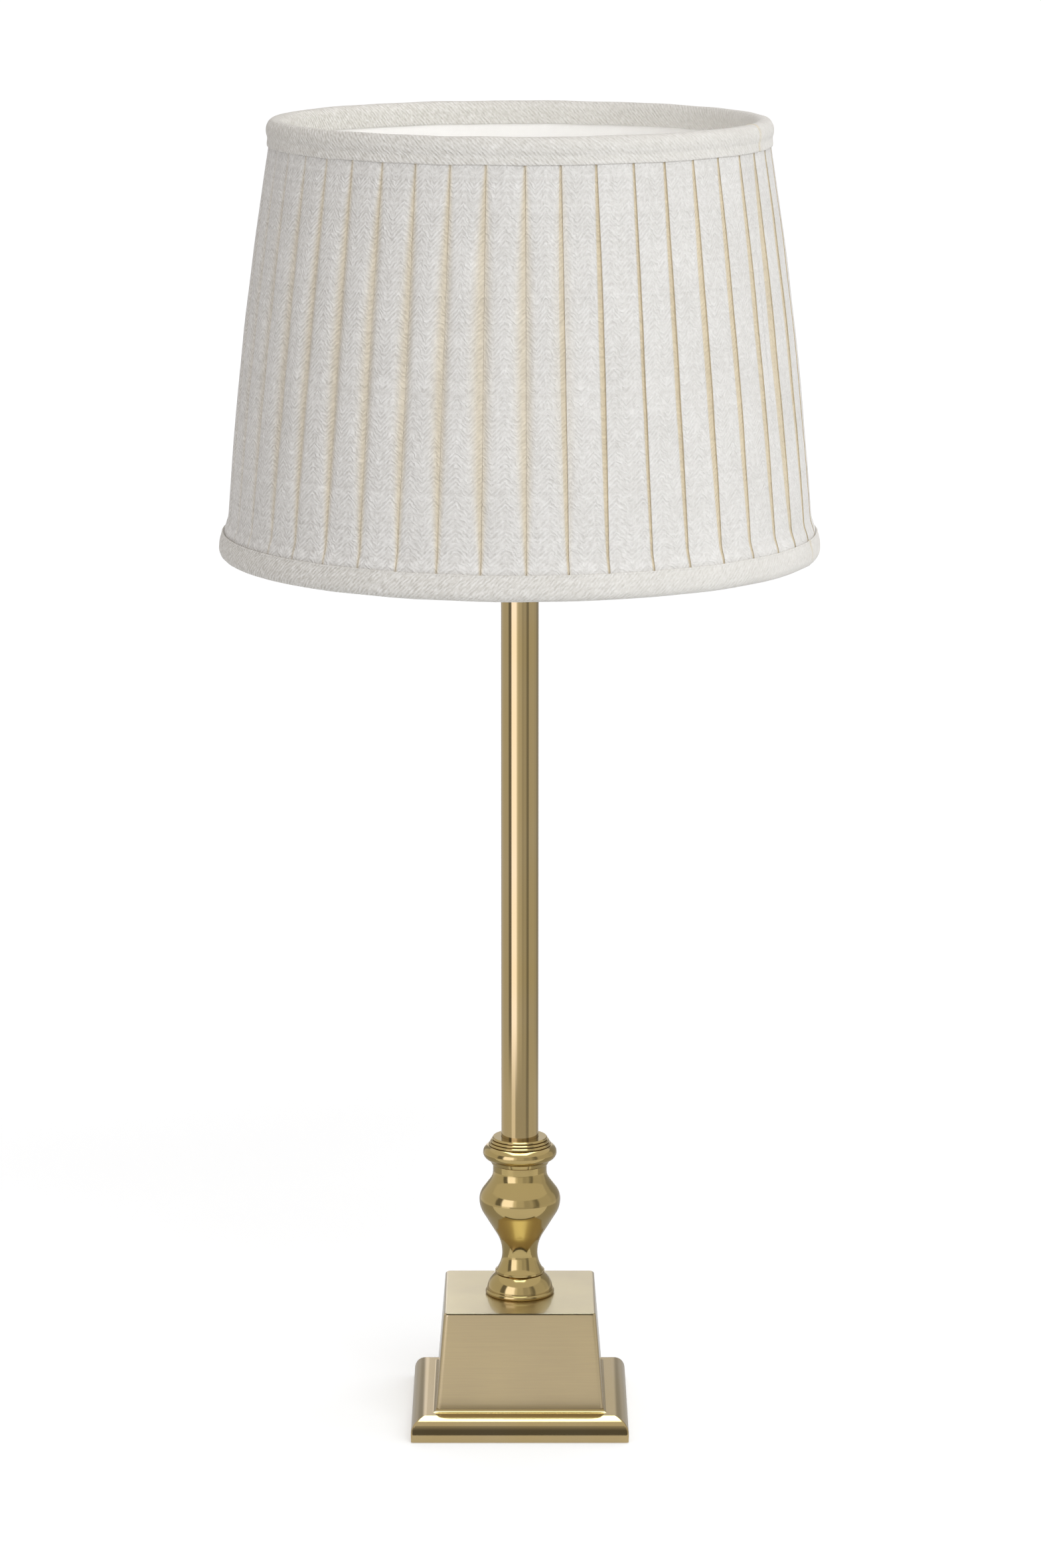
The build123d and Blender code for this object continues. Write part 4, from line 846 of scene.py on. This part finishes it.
def make_floor():
    """Pale floor that reads as white and keeps the lamp's shadow."""
    made, tree, shader = material("floor_white")
    shader.inputs["Base Color"].default_value = (0.8, 0.815, 0.83, 1)
    shader.inputs["Roughness"].default_value = 1
    shader.inputs["Specular IOR Level"].default_value = 0
    shader.inputs["Emission Color"].default_value = (1, 1, 1, 1)
    glow = math_node(tree, "MULTIPLY", background_rays(tree), FLOOR_GLOW)
    tree.links.new(glow, shader.inputs["Emission Strength"])
    mesh = bpy.data.meshes.new("floor")
    corners = [(x * FLOOR_REACH, y * FLOOR_REACH, 0) for x, y in ((-1, -1), (1, -1), (1, 1), (-1, 1))]
    mesh.from_pydata(corners, [], [(0, 1, 2, 3)])
    stage_object("floor", mesh, made)


def card_colour(level):
    """Colour of a card as a share of the brightest; bright ones are bluer, like daylight lamps."""
    red = 1 - 0.02 * max(level - 1, 0)
    blue = 0.94 + 0.2 * max(level - 1, 0)
    return tuple(min(level * part / BRIGHTEST, 1) for part in (red, 0.98, blue))


def glowing(name, cards, paint=None):
    """A material that only glows: one level all over, or what paint makes of the place and the cards."""
    made, tree, shader = material(name)
    glow = tree.nodes.new("ShaderNodeEmission")
    glow.inputs["Strength"].default_value = BRIGHTEST
    if paint:
        source = tree.nodes.new("ShaderNodeTexCoord")
        axes = tree.nodes.new("ShaderNodeSeparateXYZ")
        tree.links.new(source.outputs["Object"], axes.inputs[0])
        tree.links.new(paint(tree, axes.outputs, cards), glow.inputs["Color"])
    else:
        glow.inputs["Color"].default_value = (*card_colour(cards), 1)
    tree.links.new(glow.outputs[0], tree.nodes["Material Output"].inputs["Surface"])
    tree.nodes.remove(shader)
    return made


def row_of_cards(tree, axes, cards):
    """Colour round the lamp from a list of azimuths and brightnesses."""
    ahead = math_node(tree, "MULTIPLY", axes[1], -1.0)
    azimuth = math_node(tree, "ARCTAN2", axes[0], ahead)
    share = to_range(tree, azimuth, 0, 1, -math.pi, math.pi)
    stops = []
    for start, level in cards:
        place = (start + 180) / 360
        if stops:
            stops.append((place - CARD_BLUR, stops[-1][1]))
        stops.append((place + (CARD_BLUR if stops else 0), card_colour(level)))
    return ramp(tree, share, stops)


def two_rows(tree, axes, cards):
    """The low cards below, the high cards above."""
    low, high = cards
    upper = to_range(tree, axes[2], 0, 1, TENT_STEP - STEP_BLUR, TENT_STEP + STEP_BLUR)
    return mix(tree, upper, row_of_cards(tree, axes, low), row_of_cards(tree, axes, high))


def overhead(tree, axes, cards):
    """Dim towards the front and the sides, bright in a lane above the lamp and behind it."""
    dim, bright = cards
    behind = to_range(tree, axes[1], 0, 1, *LANE_START)
    beside = math_node(tree, "ABSOLUTE", axes[0])
    lane = to_range(tree, beside, 1, 0, *LANE_SIDE)
    return mix(tree, math_node(tree, "MULTIPLY", behind, lane), card_colour(dim), bright)


def fading(tree, axes, cards):
    """Dark, and lighter towards its upper edge."""
    upper = to_range(tree, axes[2], 0, 1, FLAG_FADE, FLAG_HIGH)
    return mix(tree, upper, *(card_colour(level) for level in cards))


def make_card(name, verts, faces, made):
    """A card of the studio that only the lamp's mirror-like surfaces see."""
    mesh = bpy.data.meshes.new(name)
    mesh.from_pydata(verts, [], faces)
    card = stage_object(name, mesh, made)
    card.visible_camera = False
    card.visible_diffuse = False
    card.visible_transmission = False
    card.visible_volume_scatter = False
    card.visible_shadow = False


def make_tent():
    """Light and dark cards all round the lamp."""
    count = TENT_COLUMNS
    turns = np.arange(count) * math.tau / count
    ring = [(math.cos(t), math.sin(t)) for t in turns]
    faces = [(i, (i + 1) % count, count + (i + 1) % count, count + i) for i in range(count)]
    wall = [(TENT_RADIUS * x, TENT_RADIUS * y, level) for level in (TENT_LOW, TENT_HEIGHT) for x, y in ring]
    make_card("tent", wall, faces, glowing("tent_cards", (LOW_CARDS, HIGH_CARDS), two_rows))
    roof = [(radius * x, radius * y, CEILING) for radius in (CEILING_HOLE, TENT_RADIUS) for x, y in ring]
    make_card("ceiling", roof, faces, glowing("ceiling_card", (CEILING_DIM, CEILING_LIGHT), overhead))
    quad = [(0, 1, 2, 3)]
    flag = [(side * FLAG_HALF, FLAG_PLACE, level) for side, level in
            ((-1, FLAG_LOW), (1, FLAG_LOW), (1, FLAG_HIGH), (-1, FLAG_HIGH))]
    make_card("front_flag", flag, quad, glowing("dark_flag", FLAG_TONES, fading))
    strip = [(side * EDGE_FLAG_HALF, place, EDGE_FLAG_LEVEL) for side, place in
             ((-1, EDGE_FLAG_FRONT), (1, EDGE_FLAG_FRONT), (1, EDGE_FLAG_BACK), (-1, EDGE_FLAG_BACK))]
    make_card("edge_flag", strip, quad, glowing("edge_flag_tone", EDGE_FLAG_TONE))
    table = [(side * TABLE_REACH, place, TABLE_LEVEL) for side, place in
             ((-1, TABLE_FRONT), (1, TABLE_FRONT), (1, TABLE_REACH), (-1, TABLE_REACH))]
    make_card("table_card", table, quad, glowing("table_tone", TABLE_TONE))


def make_sun(name, colour, azimuth, elevation, level, spread):
    """A broad soft lamp; level is the brightness that it gives a white surface that faces it."""
    light = bpy.data.lights.new(name, "SUN")
    light.color = colour
    light.energy = level * math.pi
    light.angle = math.radians(spread)
    thing = bpy.data.objects.new(name, light)
    thing.rotation_euler = (math.radians(90 - elevation), 0, math.radians(azimuth))
    thing.visible_glossy = False
    bpy.context.scene.collection.objects.link(thing)


def make_camera():
    """The photograph's viewpoint, with a long lens."""
    lens = bpy.data.cameras.new("camera")
    lens.sensor_width = SENSOR
    lens.lens = LENS
    lens.shift_x = LENS_SHIFT
    lens.clip_end = 100
    thing = bpy.data.objects.new("camera", lens)
    thing.location = (0, -CAMERA_DISTANCE, CAMERA_HEIGHT)
    thing.rotation_euler = (CAMERA_TILT, 0, 0)
    bpy.context.scene.collection.objects.link(thing)
    bpy.context.scene.camera = thing


make_camera()
finish_nodes()
cover, cover_flat = pleated_cover()
band_cloth = cloth("band_cloth", (0.93, 0.915, 0.885), (0.60, 0.575, 0.525), thread=1.5 * MM, chevron=0,
                   depth=0.16 * MM, contrast=1.2, tint="seam", tint_colour=(0.92, 0.84, 0.66), slub=0.35)
for made, flat, hidden, wire in (
    (*top_band(), "top_binding", "top_wire"),
    (*bottom_band(), "bottom_binding", "bottom_wire"),
):
    made.data.materials.append(band_cloth)
    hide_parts(hidden)
    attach(made, "shade")
lining()
felt_pad()

bpy.context.scene.view_settings.view_transform = "Standard"
make_world(colour=(1.0, 0.945, 0.912), strength=0.495)
make_floor()
make_tent()
make_sun("key", (0.945, 0.98, 1.0), azimuth=21, elevation=32, level=0.48, spread=50)
make_sun("side", (0.98, 1.0, 1.0), azimuth=95, elevation=25, level=0.14, spread=50)
make_sun("back", (0.98, 1.0, 1.0), azimuth=175, elevation=25, level=0.12, spread=60)
